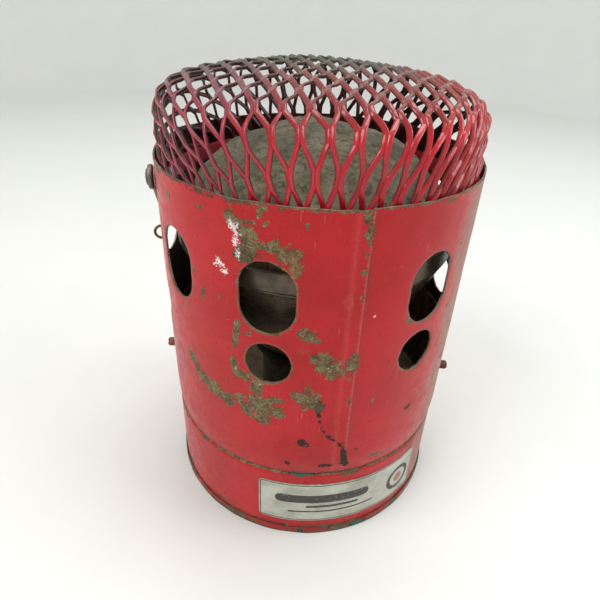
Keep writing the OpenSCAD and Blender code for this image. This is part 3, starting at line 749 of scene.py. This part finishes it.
def ragged_loop(hole, grow, seed):
    """Points (arc length, height) round a punched hole, with its small nicks, at grow outside its edge."""
    az, z, w, h = hole
    r, straight = w / 2, (h - w) / 2
    n = int((math.pi * w + 4 * straight) / NIBBLE)
    rng = np.random.default_rng(seed)
    pts = np.array([(math.cos(t), math.sin(t)) for t in np.arange(n) / n * 2 * math.pi])
    up = pts[:, 1]
    flank = 0.12
    angle = np.arctan2(up, pts[:, 0])
    wave = sum(rng.uniform(0.01, 0.05) * np.sin(k * angle + rng.uniform(0, 6.3)) for k in range(2, 15))
    loop = pts * (r + grow + wave * (1.0 if grow < 0.3 else 0.5))[:, None]
    loop[:, 1] += np.where(up >= 0, straight, -straight) * smooth(np.abs(up), 0, flank)
    if straight > 0:
        heights = np.arange(-straight, straight + 0.01, NIBBLE)
        sides = [(s * (r + grow + 0.05 * math.sin(3 * t + seed)), t) for s in (1, -1) for t in heights]
        loop = np.concatenate([loop[np.abs(up) >= flank], sides])
        loop = loop[np.argsort(np.arctan2(loop[:, 1], loop[:, 0]))]
    return loop + [arc_length(az), z]


def inside(points, loop):
    """Which points lie inside a closed loop."""
    x, y = points[:, 0], points[:, 1]
    hit = np.zeros(len(points), bool)
    for (x0, y0), (x1, y1) in zip(loop, np.roll(loop, -1, 0)):
        if y0 != y1:
            hit ^= ((y0 > y) != (y1 > y)) & (x < (x1 - x0) * (y - y0) / (y1 - y0) + x0)
    return hit


def joined_ends(flat, half):
    """Each point's number, or its twin's where the flat sheet's two ends meet."""
    same = {}
    for i, (u, z) in enumerate(flat):
        if abs(abs(u) - half) < 1e-3:
            same.setdefault(round(float(z), 3), []).append(i)
    number = np.arange(len(flat))
    for pair in same.values():
        number[pair] = min(pair)
    return number


def flat_sleeve(holes):
    """The sleeve's sheet laid flat: points (arc length, height) and triangles, with the holes cut out."""
    half = math.pi * SLEEVE_R
    loops = [ragged_loop(h, 0.0, 100 + k) for k, h in enumerate(holes)]
    rings = [ragged_loop(h, grow, 100 + k) for k, h in enumerate(holes) for grow in (0.6, 1.4)]
    zs = np.linspace(SLEEVE_FOOT, RIM, int((RIM - SLEEVE_FOOT) / GRID) + 1)
    us = np.linspace(-half, half, int(2 * half / GRID) + 1)
    points, edges = [], []

    def line(pts, closed=False):
        base, n = len(points), len(pts)
        points.extend(map(tuple, pts))
        edges.extend((base + k, base + (k + 1) % n) for k in range(n if closed else n - 1))

    line([(u, SLEEVE_FOOT) for u in us] + [(half, z) for z in zs[1:]]
         + [(u, RIM) for u in us[::-1][1:]] + [(-half, z) for z in zs[::-1][1:-1]], True)
    seam = [math.radians(a) * SLEEVE_R for a in SEAM]
    for u in seam:
        line([(u, z) for z in zs[1:-1]])
    for loop in loops + rings:
        line(loop, True)
    rows = np.arange(SLEEVE_FOOT, RIM, GRID * 0.87)
    grid = np.array([(u + (GRID / 2 if i % 2 else 0), z) for i, z in enumerate(rows) for u in us])
    u, z = grid.T
    keep = (hole_gap(np.degrees(u / SLEEVE_R), z, holes) > 2.0) & (np.abs(u) < half - 0.8)
    keep &= (z > SLEEVE_FOOT + 0.7) & (z < RIM - 0.7)
    for seam_u in seam:
        keep &= np.abs(u - seam_u) > 0.6
    points.extend(map(tuple, grid[keep]))

    out = delaunay_2d_cdt([Vector(p) for p in points], edges, [], 0, 1e-4)
    flat, tris = np.array([v[:] for v in out[0]]), np.array(out[2])
    mid = flat[tris].mean(1)
    near = hole_gap(np.degrees(mid[:, 0] / SLEEVE_R), mid[:, 1], holes) < 1.0
    drop = np.zeros(len(tris), bool)
    for loop in loops:
        drop[near] |= inside(mid[near], loop)
    return flat, joined_ends(flat, half)[tris[~drop]]


def open_edges(tris):
    """The edges that only one triangle has, in that triangle's direction."""
    edges = [(t[k], t[(k + 1) % 3]) for t in tris for k in range(3)]
    count = Counter(tuple(sorted(e)) for e in edges)
    return [e for e in edges if count[tuple(sorted(e))] == 1]


def make_sleeve():
    holes = OVALS + ROUNDS
    flat, tris = flat_sleeve(holes)
    n = len(flat)
    az, z = np.degrees(flat[:, 0] / SLEEVE_R), flat[:, 1]
    gap = hole_gap(az, z, holes)
    r = sleeve_outside(az, z) - 0.35 * np.exp(-np.maximum(gap, 0) / 0.8)
    lip = 0.22 * wobble(around(az, SLEEVE_R, 0 * z), 9, 33) * smooth(z, RIM - 4, RIM)
    verts = np.concatenate([around(az, r, z + lip), around(az, r - SHEET, z + lip)])
    cut = open_edges(tris)
    faces = [tuple(t) for t in tris] + [tuple(t[::-1] + n) for t in tris]
    faces += [(b, a, a + n, b + n) for a, b in cut]
    which = [0] * len(tris) + [1] * len(tris) + [2] * len(cut)

    marks = outer_marks(verts, CHIPS + BACK_CHIPS, PRIMER)
    az, z, gap = np.tile(az, 2), np.tile(z, 2), np.tile(gap, 2)
    away = np.maximum(gap, 0)
    marks["rim"] = np.maximum(0.7 * np.exp(-away / 1.5), 0.8 * smooth(z, RIM - 2.8, RIM + 0.6))
    # Painted shade in the groove at the sleeve's foot, brown dirt round the holes, and a painted shadow line
    # just past the lap seam's step.
    marks["grime_and_shade"] = 0.9 * smooth(z, SLEEVE_FOOT + 2.2, SLEEVE_FOOT) + 0.25 * np.exp(-away / 3)
    marks["grime_and_shade"] += 0.9 * bell(az - SEAM[3] - 0.23, 0.28)
    marks["worn"] = 0.75 * bell(az - SEAM[2] + 0.13, 0.2) + 0.16 * bell(az - SEAM[1] + 0.1, 0.7)
    marks["worn"] += 0.25 * bell(gap - 0.3, 0.4)

    used = np.unique(np.concatenate([tris, tris + n]))
    index = np.full(2 * n, -1)
    index[used] = np.arange(len(used))
    faces = [tuple(index[list(face)]) for face in faces]
    marks = {key: values[used] for key, values in marks.items()}
    piece("sleeve_sheet", verts[used], faces, [RED, SHADED_INSIDE, EDGE], "root", ["sleeve"], "sleeve_paint",
          marks, which, sharp=40)


# ---- guard ----

CROWN_TILT = CROWN_EDGE / CROWN_R
CROWN_Z = GUARD_TOP - GUARD_T / 2
EDGE_Z = CROWN_Z - CROWN_EDGE ** 2 / (2 * CROWN_R)
ROUND_LEN = ROUND_R * (math.pi / 2 - CROWN_TILT)
WALL_R = CROWN_EDGE + ROUND_R * (1 - math.sin(CROWN_TILT))
WALL_Z = EDGE_Z - ROUND_R * math.cos(CROWN_TILT)
REACH = CROWN_EDGE + ROUND_LEN + WALL_Z - GUARD_Z

MESH_SHORT, MESH_LONG = 10.1, 31.6
MESH_SHIFT = (-3.7, 3.7)
STRAND_W, STRAND_T, STRAND_TILT, STRAND_SIDES = 2.4, 1.3, math.radians(-30.0), 12
BOND = 6.2
HEM = 3.1


def guard_surface(x, y, off=0.0):
    """Points of the flat mesh drawn over the guard, off outside it, and the outward direction there."""
    flat = np.maximum(np.hypot(x, y), ON_AXIS)
    az = np.degrees(np.arctan2(x, -y))
    # The mesh is gathered in over the shoulder, and there its diamonds are pulled round, most at the left.
    s = flat - 4.0 * smooth(flat, 66, 83) + 0.9 * smooth(flat, 84, 100)
    az = az + smooth(flat, 66, 82) * np.degrees(0.0725) * np.sin(2 * np.radians(az + 12.5))
    az = az + 10.5 * smooth(flat, 78, 112) * bell(az + 60, 26)
    crown, past = s <= CROWN_EDGE, s - CROWN_EDGE
    down = np.maximum(past - ROUND_LEN, 0)
    tilt = np.where(crown, s / CROWN_R, np.minimum(CROWN_TILT + past / ROUND_R, math.pi / 2))
    wall_r = CROWN_EDGE + ROUND_R * (np.sin(tilt) - math.sin(CROWN_TILT)) - WALL_LEAN * down
    wall_z = EDGE_Z - ROUND_R * (math.cos(CROWN_TILT) - np.cos(tilt)) - down
    r = np.where(crown, s, wall_r)
    z = np.where(crown, CROWN_Z - s ** 2 / (2 * CROWN_R), wall_z)
    ux, uy = np.sin(np.radians(az)), -np.cos(np.radians(az))
    normal = np.stack([ux * np.sin(tilt), uy * np.sin(tilt), np.cos(tilt)], -1)
    return np.stack([r * ux, r * uy, z], -1) + normal * np.asarray(off)[..., None], normal


def bent(p, normal):
    """Knocks in the guard: a bulge at the left, shallow dents, and a crown sunk most at the rear."""
    x, y, z = p.T
    az = np.degrees(np.arctan2(x, -y))
    push = 0.9 * bell(az + 82, 26) * bell(z - 208, 14)
    push -= 1.6 * bell(az + 58, 12) * bell(z - 214, 8)
    push -= 1.0 * bell(x - 6, 22) * bell(y + 12, 22)
    push -= 0.6 * bell(az - 88, 42) * smooth(z, 192, 214)
    push += 0.35 * wobble(p, 22, 55) - 0.55
    p = p + normal * push[:, None]
    shoulder = smooth(np.hypot(p[:, 0], p[:, 1]), 28, 66)
    sink = 2.2 + shoulder * (1.0 * bell(turn(az + 118), 48) + 1.7 * bell(turn(az - 110), 44))
    p[:, 2] -= sink * smooth(p[:, 2], 188, 232)
    return p


def zigzag(y, k):
    """How far strand k leans to one side, -1 to 1, at y along it: flat at the bonds."""
    def wave(t):
        t = (t / MESH_LONG + 0.5 * (k % 2)) % 1.0
        return np.clip((1 - 2 * np.abs(2 * t - 1)) / (1 - 2 * BOND / MESH_LONG), -1, 1)
    return sum(wave(y + d) for d in (-0.5, 0, 0.5)) / 3


def strand(x, y, lean, section, rng):
    """The points of one strand laid over the guard, ring by ring."""
    p, normal = guard_surface(x, y, lean * STRAND_W / 2 * math.sin(STRAND_TILT))
    p = bent(p, normal)
    ahead = np.gradient(p, axis=0)
    ahead /= np.linalg.norm(ahead, axis=1)[:, None]
    side = np.cross(ahead, normal)
    side /= np.linalg.norm(side, axis=1)[:, None]
    normal = np.cross(side, ahead)
    twist = np.interp(y, np.linspace(-REACH, REACH, 9), rng.normal(0, 0.05, 9))
    tilt = (STRAND_TILT + twist)[:, None]
    wide = side * np.cos(tilt) - normal * np.sin(tilt)
    thick = side * np.sin(tilt) + normal * np.cos(tilt)
    return np.stack([p + wide * a + thick * b for a, b in section], 1).reshape(-1, 3)


def make_guard():
    turns = np.arange(STRAND_SIDES) / STRAND_SIDES * 2 * math.pi
    c, s = np.cos(turns), np.sin(turns)
    across = STRAND_W / 2 * np.sign(c) * np.abs(c) ** 0.75
    section = list(zip(across, STRAND_T / 2 * np.sign(s) * np.abs(s) ** 0.75))
    swing = MESH_SHORT / 4 - 0.68 * STRAND_W / 2 * math.cos(STRAND_TILT)
    y = np.arange(-REACH - 6, REACH + 6, 0.8)
    rng = np.random.default_rng(77)
    verts, faces, base = [], [], 0
    n_side = int((REACH + HEM) / (MESH_SHORT / 2)) + 2
    for k in range(-n_side, n_side + 1):
        lean = zigzag(y + MESH_SHIFT[1], k)
        x = (k + 0.5) * MESH_SHORT / 2 + MESH_SHIFT[0] + lean * swing
        x = x + np.interp(y, np.linspace(-REACH, REACH, 12), rng.normal(0, 0.16, 12))
        on = np.nonzero(np.hypot(x, y) <= REACH + HEM)[0]
        for run in np.split(on, np.nonzero(np.diff(on) > 1)[0] + 1):
            if len(run) < 4:
                continue
            verts.append(strand(x[run], y[run], lean[run], section, rng))
            faces += bar_faces(len(run), STRAND_SIDES, base)
            base += len(verts[-1])
    rings = base // STRAND_SIDES
    # corner marks each strand's edges, darkened partly by wear and partly as painted shade; inner marks its
    # inward face, darkened as painted shade.
    marks = {"corner": np.tile(np.abs(c) ** 1.5, rings), "inner": np.tile(0.5 - 0.5 * s, rings)}
    piece("guard_strands", np.concatenate(verts), faces, [CRIMSON], "guard", ["guard_mesh"], "guard_paint",
          marks, sharp=80)

    r = WALL_R - GUARD_T / 2 - WALL_LEAN * (WALL_Z - GUARD_Z) - 0.5
    hoop = tube(r - HOOP_T, r, *HOOP_Z)
    v, f = turned(hoop, round_by=0.3, step=2.0, around_n=240, rough=0.08, rough_size=20, seed=9)
    # The hoop takes the corner darkening in patches, partly wear and partly painted shade, and a faint touch
    # of the inward painted shade.
    marks = {"corner": np.full(len(v), 0.5), "inner": np.full(len(v), 0.4)}
    piece("guard_hoop", v, f, [CRIMSON], "guard", ["guard_band"], "guard_paint", marks)


# ---- burner head ----

def bowl_at(z):
    return 34 + 36 * ((z - BOWL_Z) / (BOWL_TOP - BOWL_Z)) ** 0.75


def dome(az, angles, inset=0.0):
    """Points of the pad's dome, azimuth by azimuth, from its foot up."""
    a = np.radians(angles)[None]
    r, z = (PAD_R - inset) * np.cos(a), PAD_Z + (PAD_H - inset) * np.sin(a)
    return around(az[:, None], r, z).reshape(-1, 3)


def make_pad():
    """The domed fibre pad, lumpy and hairy."""
    n_az, n = 300, 96
    t = np.linspace(0, 90, n)
    az = np.arange(n_az) * 360 / n_az
    outer, inner = dome(az, t), dome(az, t[::6], PAD_T)
    m = len(t[::6])
    out = outer * [1 / PAD_R, 1 / PAD_R, 1 / PAD_H] - [0, 0, PAD_Z / PAD_H]
    out /= np.maximum(np.linalg.norm(out, axis=1), ON_AXIS)[:, None]
    lump = 0.9 * wobble(outer, 26, 61) + 0.4 * wobble(outer, 8, 62, 30) + 0.22 * wobble(outer, 3.2, 63, 40)
    lump -= 1.2
    lump = np.where(outer[:, 2] < PAD_Z + 3, np.minimum(lump, -0.4), lump)
    base = len(outer)
    faces = []
    for i in range(n_az):
        j = (i + 1) % n_az
        for k in range(n - 1):
            faces.append((i * n + k, j * n + k, j * n + k + 1, i * n + k + 1))
        for k in range(m - 1):
            faces.append((base + i * m + k + 1, base + j * m + k + 1, base + j * m + k, base + i * m + k))
        faces.append((i * n, base + i * m, base + j * m, j * n))
    v, f = weld(np.concatenate([outer + out * lump[:, None], inner]), faces)
    obj = piece("fibre_pad", v, f, [PAD], "head", ["catalyst_pad"], "pad_fibre", sharp=80)


def make_head():
    make_pad()
    zs = [BOWL_Z + (BOWL_TOP - BOWL_Z) * (k / 24) ** 1.6 for k in range(25)]
    lip, floor = BOWL_TOP - BOWL_T, BOWL_Z + BOWL_T
    bowl = [(bowl_at(z), z) for z in zs] + [(71, BOWL_TOP), (71, lip), (70.8, lip)]
    bowl += [(bowl_at(z) + BOWL_T, z - 0.4) for z in zs[-2:1:-1]]
    bowl += [(34.8, BOWL_Z), (SPIGOT_R, BOWL_Z), (SPIGOT_R, floor), (FLANGE_R, floor)]
    turned_piece("bowl_shell", bowl, BOWL, "head", ["burner_bowl"], "burnt_steel", 50,
                 round_by=0.2, step=2.6, around_n=240, rough=0.25, rough_size=22, seed=13)
    z0, z1 = RING_Z
    ring = [(RING_R - 0.8, z0), (RING_R, z0), (RING_R, z1), (RING_R - 2.8, z1), (RING_R - 2.8, z1 - 0.8),
            (RING_R - 0.8, z1 - 0.8)]
    turned_piece("pad_clamp_ring", ring, BURNT, "head", ["clamp_ring"], "burnt_steel",
                 round_by=0.3, step=2.0, around_n=300, rough=0.06, rough_size=16, seed=14)
    wall = SPIGOT_R + 0.8
    spigot = [(SPIGOT_R, SPIGOT_FOOT), (wall, SPIGOT_FOOT), (wall, FLANGE_Z), (FLANGE_R, FLANGE_Z),
              (FLANGE_R, FLANGE_Z + 1), (SPIGOT_R, FLANGE_Z + 1)]
    turned_piece("spigot_sheet", spigot, PLATE, "head", ["burner_spigot"], "plated_steel",
                 round_by=0.15, step=3.0, around_n=160, rough=0.03, rough_size=12, seed=15)
    zs = np.linspace(91.9, 152.0, 12)
    packing = [(12, 91.9)] + [(bowl_at(z) - 0.9, z) for z in zs] + [(0, 151.6), (0, 118.8), (12, 118.8)]
    turned_piece("packing_wool", packing, WOOL, "head", ["bowl_packing"], "wadding", 70,
                 round_by=1.0, step=3.0, around_n=120, rough=0.35, rough_size=7, seed=17)
    turned_piece("wick_cord", tube(0, WICK_R, 5.5, WICK_TOP), COTTON, "head", ["wick"], "wick_cotton", 70,
                 round_by=0.8, step=2.0, around_n=48, rough=0.25, rough_size=3, seed=18)


# ---- inside of the tank and its neck ----

def make_neck():
    turned_piece("neck_pipe", tube(NECK_R - 1, NECK_R, 43.9, COLLAR_Z), PLATE, "root", ["neck_tube"],
                 "plated_steel", round_by=0.2, around_n=140, rough=0.03, rough_size=20, seed=23)
    ridges = [(COLLAR_R + (0.05 if k % 2 else 0.4), COLLAR_Z + 0.4 + k * 0.42) for k in range(13)]
    inner = NECK_R - 1
    collar = [(inner, COLLAR_Z), (COLLAR_R, COLLAR_Z), *ridges, (COLLAR_R, GASKET_Z), (inner, GASKET_Z)]
    turned_piece("neck_nut", collar, IRON, "root", ["neck_collar"], "dark_iron",
                 round_by=0.15, step=3, around_n=160, rough=0.03, rough_size=15, seed=24)
    seal = tube(NECK_R, 33, GASKET_Z, GASKET_Z + GASKET_T)
    turned_piece("neck_seal", seal, GASKET, "root", ["neck_gasket"], "gasket",
                 round_by=0.4, step=2, around_n=140, rough=0.06, rough_size=8, seed=25)
    top = LID_Z + LID_T
    lid = [(NECK_R, LID_Z), (76.4, LID_Z), (76.4, top), (60, top), (57.5, top - 0.5), (55, top),
           (NECK_R, top)]
    turned_piece("tank_lid", lid, LID, "root", ["tank_top"], "plated_steel",
                 round_by=0.2, step=5, around_n=200)
    wool = [(12, 4.2), (78, 4.2), (78, 46.9), (28.4, 46.9), (28.4, 43.5), (12, 43.5)]
    v, f = turned(wool, round_by=1.5, step=5, around_n=120)
    v[:, 2] += 0.3 * np.where(v[:, 2] > 40, wobble(v, 9, 28) - 1.2, 0)
    piece("tank_wool", v, f, [WOOL], "root", ["fuel_wadding"], "wadding", sharp=70)
    r = SLEEVE_R - SHEET - NECKING - 0.2
    turned_piece("upstand_sheet", tube(r - 0.8, r, TANK_H, UPSTAND_TOP), RUSTY, "root", ["upstand_ring"],
                 "rusty_steel", round_by=0.25, step=3, around_n=260, rough=0.05, rough_size=25, seed=29)


# ---- label ----

def make_label():
    """The label's curved sheet, its grid drawn in at the rounded corners."""
    wide = math.radians(LABEL_AZ[1] - LABEL_AZ[0]) * TANK_R
    tall = LABEL_Z[1] - LABEL_Z[0]
    corner, n_u, n_v = 2.6, 110, 34
    rows = []
    for j in range(n_v + 1):
        v = tall * (1 - math.cos(math.pi * j / n_v)) / 2
        d = max(corner - v, corner - (tall - v), 0)
        cut = corner - math.sqrt(max(corner ** 2 - d ** 2, 0))
        rows += [(cut + (wide - 2 * cut) * i / n_u, v) for i in range(n_u + 1)]
    u, v = np.array(rows).T
    az, z = LABEL_AZ[0] + np.degrees(u / TANK_R), LABEL_Z[0] + v
    lift = 0.12 * wobble(around(az, TANK_R + LABEL_T + 0.02, z), 14, 71) + 0.1
    r = TANK_R + LABEL_T + np.clip(lift, 0.0, 0.25)
    verts = np.concatenate([around(az, r, z), around(az, TANK_R - 0.25, z)])
    n, m = len(u), n_u + 1
    faces = []
    for j in range(n_v):
        for a in range(j * m, j * m + n_u):
            faces.append((a, a + 1, a + m + 1, a + m))
            faces.append((n + a + m, n + a + m + 1, n + a + 1, n + a))
    rim = [*range(m), *range(m + n_u, n, m), *range(n - 2, n - m - 1, -1), *range(n - 2 * m, 0, -m)]
    faces += [(b, a, a + n, b + n) for a, b in zip(rim, rim[1:] + rim[:1])]
    edge = np.min([u, wide - u, v, tall - v], axis=0)
    marks = {"across": np.tile(u, 2), "up": np.tile(v, 2), "border": np.tile(edge, 2)}
    piece("label_sticker", verts, faces, [LABEL], "root", ["label_plate"], "label", marks, sharp=50)


# ---- screws, pivots, loop and bail ----

def stud(profile, round_by=0.15, n=48, seed=3):
    return turned(profile, round_by, 1.0, n, 0.03, 2.0, seed)


def slotted(mesh, top, width, depth):
    """Presses a slot into the end of a turned piece whose own +Z points out."""
    v, f = mesh
    hit = (np.abs(v[:, 1]) < width / 2) & (v[:, 2] > top - depth * 0.6)
    v[hit, 2] -= depth
    return v, f


def make_screws():
    top = 8.0
    shank = [(0, -8.5), (1.6, -8.5), (2, -8.1), (2, 0.4), (0, 0.4)]
    head = [(0, 0.05), (2.8, 0.05), (2.8, 1.0), (2.55, 1.3), (2.75, 1.9), (2.5, 2.4), (2.75, 3.0), (2.5, 3.5),
            (2.75, 4.1), (2.5, 4.6), (2.7, 5.2), (2.65, 7.2), (2.2, 7.9), (1.6, top), (0.9, top), (0.5, top),
            (0, top)]
    parts = []
    for k, (az, z) in enumerate(SCREWS):
        end = slotted(stud(head, 0.12, 64, 5 + k), top, 0.9, 1.0)
        parts += [placed(end, az, SLEEVE_R, z, 25 + 50 * k), placed(stud(shank, 0.1), az, SLEEVE_R, z)]
    piece("side_screws", *join(parts), [SCREW], "root", ["shell_screws"], "rusty_screw", sharp=45)


def make_pivots():
    top = WASHER_T + EYE_T + 2 * PLAY
    dome = [(0, -0.5), (RIVET_R, -0.5), (RIVET_R, top + 0.1), (3.95, top), (4, top + 0.35), (3.2, top + 0.85),
            (1.8, top + 1.08), (0, top + 1.1)]
    back = [(0, -1.7), (3.4, -1.7), (4, -1.4), (4, -0.95), (0, -0.95)]
    rivets, washers = [], []
    for k, az in enumerate(PIVOTS):
        rivets += [placed(stud(dome, 0.15, 56, 31 + k), az, SLEEVE_R, PIVOT_Z),
                   placed(stud(back, 0.15, 48, 33 + k), az, SLEEVE_R, PIVOT_Z)]
        ring = turned(tube(RIVET_R, 4.5, 0.1, WASHER_T), round_by=0.15, step=1.0, around_n=56)
        washers.append(placed(ring, az, SLEEVE_R, PIVOT_Z))
    piece("pivot_rivets", *join(rivets), [WIRE], "root", ["bail_pivots"], "plated_steel", sharp=45)
    piece("pivot_rings", *join(washers), [PLATE], "root", ["pivot_washers"], "plated_steel", sharp=45)


def make_loop():
    """The small wire loop, standing on the sleeve with its two legs through the sheet."""
    a = np.radians(np.linspace(-90, 90, 26))
    arch = np.stack([0 * a, LOOP_R * np.sin(a), LOOP_R * np.cos(a)], -1)
    ends = [[[0, s * LOOP_R, -2.4], [0, s * LOOP_R, -1.0]] for s in (-1, 1)]
    path = np.concatenate([ends[0], arch, ends[1][::-1]])
    v, f = placed(swept(path, LOOP_WIRE_R), LOOP_AZ, SLEEVE_R, LOOP_Z)
    piece("wire_eye", v, f, [RUSTY], "root", ["wire_loop"], "rusty_screw", sharp=60)


def make_bail():
    """The wire handle: two flattened eyes, straight legs and a half hoop, laid back against the sleeve."""
    hoop, t = EYE_FACE + EYE_T / 2, EYE_T / 2
    legs = np.linspace(4.6, BAIL_LEG, 12)
    path = [(hoop, 0, s) for s in legs[:-1]]
    path += [(hoop * math.cos(a), 0, BAIL_LEG + hoop * math.sin(a)) for a in np.linspace(0, math.pi, 120)]
    path += [(-hoop, 0, s) for s in legs[::-1][1:]]
    eye = [(2.05, -t), (5.6, -t), (6.0, -t / 2), (6.0, t / 2), (5.6, t), (2.05, t)]
    v, f = turned(eye, round_by=0.3, step=1.0, around_n=60)
    parts = [swept(path, BAIL_WIRE_R, 16)]
    for side in (1, -1):
        parts.append((np.stack([v[:, 2] + side * hoop, v[:, 1], v[:, 0]], -1), [face[::-1] for face in f]))
    v, f = join(parts)
    lean = Matrix.Rotation(-math.radians(BAIL_LEAN), 3, "X")
    swing = Matrix.Rotation(math.radians(PIVOTS[0] + 90), 3, "Z")
    v = v @ np.array(swing @ lean).T + [0, 0, PIVOT_Z]
    piece("bail_wire", v, f, [WIRE], "bail", ["bail"], "bail_wire", sharp=50)


make_tank()
make_sleeve()
make_guard()
make_head()
make_neck()
make_label()
make_screws()
make_pivots()
make_loop()
make_bail()

CAD_MATERIALS = {"tank_bottom": CHIME, "shell_nuts": PLATE, "guard_stops": SHADED_INSIDE, "pad_grid": BURNT}
for node, material in CAD_MATERIALS.items():
    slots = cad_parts[node].data.materials
    slots.clear()
    slots.append(material)


# ---- stage, light and camera, in metres ----

FLOOR_FLAT, FLOOR_BEND, WALL_TOP = 1.25, 0.4, 2.0
LAMPS = [
    ("key", (-0.75, -0.55, 1.15), (0, 0, 0.12), (0.9, 0.7), 12.5, (1.0, 0.985, 0.96)),
    ("fill", (1.1, -0.1, 0.8), (0.25, 0, 0.0), (0.8, 0.8), 8.5, (0.97, 0.98, 1.0)),
    ("top", (0.1, 0.25, 1.3), (0, 0, 0.1), (0.9, 0.6), 9, (1, 1, 1)),
]
CAMERA_PLACE, LENS = (0, -0.25046, 0.26389), 30.02
CAMERA_TURN = [math.radians(a) for a in (32.24, -1.405, 2.561)]


def stage():
    """A pale round floor that curves up into a plain wall on every side."""
    g = Graph("pale_floor")
    colour = g.blend(g.noise(60, 3), (0.655, 0.66, 0.64), (0.695, 0.70, 0.68))
    n, reach = 128, FLOOR_FLAT + FLOOR_BEND
    bend = arc((FLOOR_FLAT, FLOOR_BEND), FLOOR_BEND, -90, 0, 20)
    verts = [(0.0, 0.0, 0.0)]
    for r, z in bend + [(reach, WALL_TOP)]:
        verts += [(r * math.cos(t), r * math.sin(t), z) for t in np.arange(n) / n * 2 * math.pi]
    faces = [(0, 1 + k, 1 + (k + 1) % n) for k in range(n)]
    for base in range(1, len(verts) - n, n):
        faces += [(base + k, base + n + k, base + n + (k + 1) % n, base + (k + 1) % n) for k in range(n)]
    mesh = bpy.data.meshes.new("floor")
    mesh.from_pydata(verts, [], faces)
    mesh.materials.append(g.finish(colour, 0.5, 0.0, g.noise(2, 2), 0.03))
    mesh.polygons.foreach_set("use_smooth", np.ones(len(faces), bool))
    floor = show("floor", mesh)


def lamp(name, place, aim, size, watts, colour):
    data = bpy.data.lights.new(name, "AREA")
    data.shape, data.size, data.size_y = "RECTANGLE", size[0], size[1]
    data.energy, data.color = watts, colour
    obj = show(name, data)
    obj.location = place
    obj.rotation_euler = (Vector(aim) - Vector(place)).to_track_quat("-Z", "Y").to_euler()


def camera():
    """Set where a fit of the sleeve's rim, holes and foot puts the photograph's camera."""
    data = bpy.data.cameras.new("camera")
    data.sensor_width, data.lens = 36.0, LENS
    data.clip_start, data.clip_end = 0.01, 20
    pitch, yaw, roll = CAMERA_TURN
    ahead = Vector((math.sin(yaw) * math.cos(pitch), math.cos(yaw) * math.cos(pitch), -math.sin(pitch)))
    right = Vector((math.cos(yaw), -math.sin(yaw), 0))
    up = right.cross(ahead)
    cam_x = right * math.cos(roll) + up * math.sin(roll)
    cam_y = up * math.cos(roll) - right * math.sin(roll)
    obj = show("camera", data)
    obj.matrix_world = Matrix.Translation(CAMERA_PLACE) @ Matrix((cam_x, cam_y, -ahead)).transposed().to_4x4()
    bpy.context.scene.camera = obj


stage()
for settings in LAMPS:
    lamp(*settings)
world = bpy.data.worlds.new("studio")
world.use_nodes = True
background = world.node_tree.nodes["Background"]
background.inputs[0].default_value = (0.86, 0.88, 0.87, 1)
background.inputs[1].default_value = 0.62
bpy.context.scene.world = world
bpy.context.scene.view_settings.view_transform = "Standard"
camera()
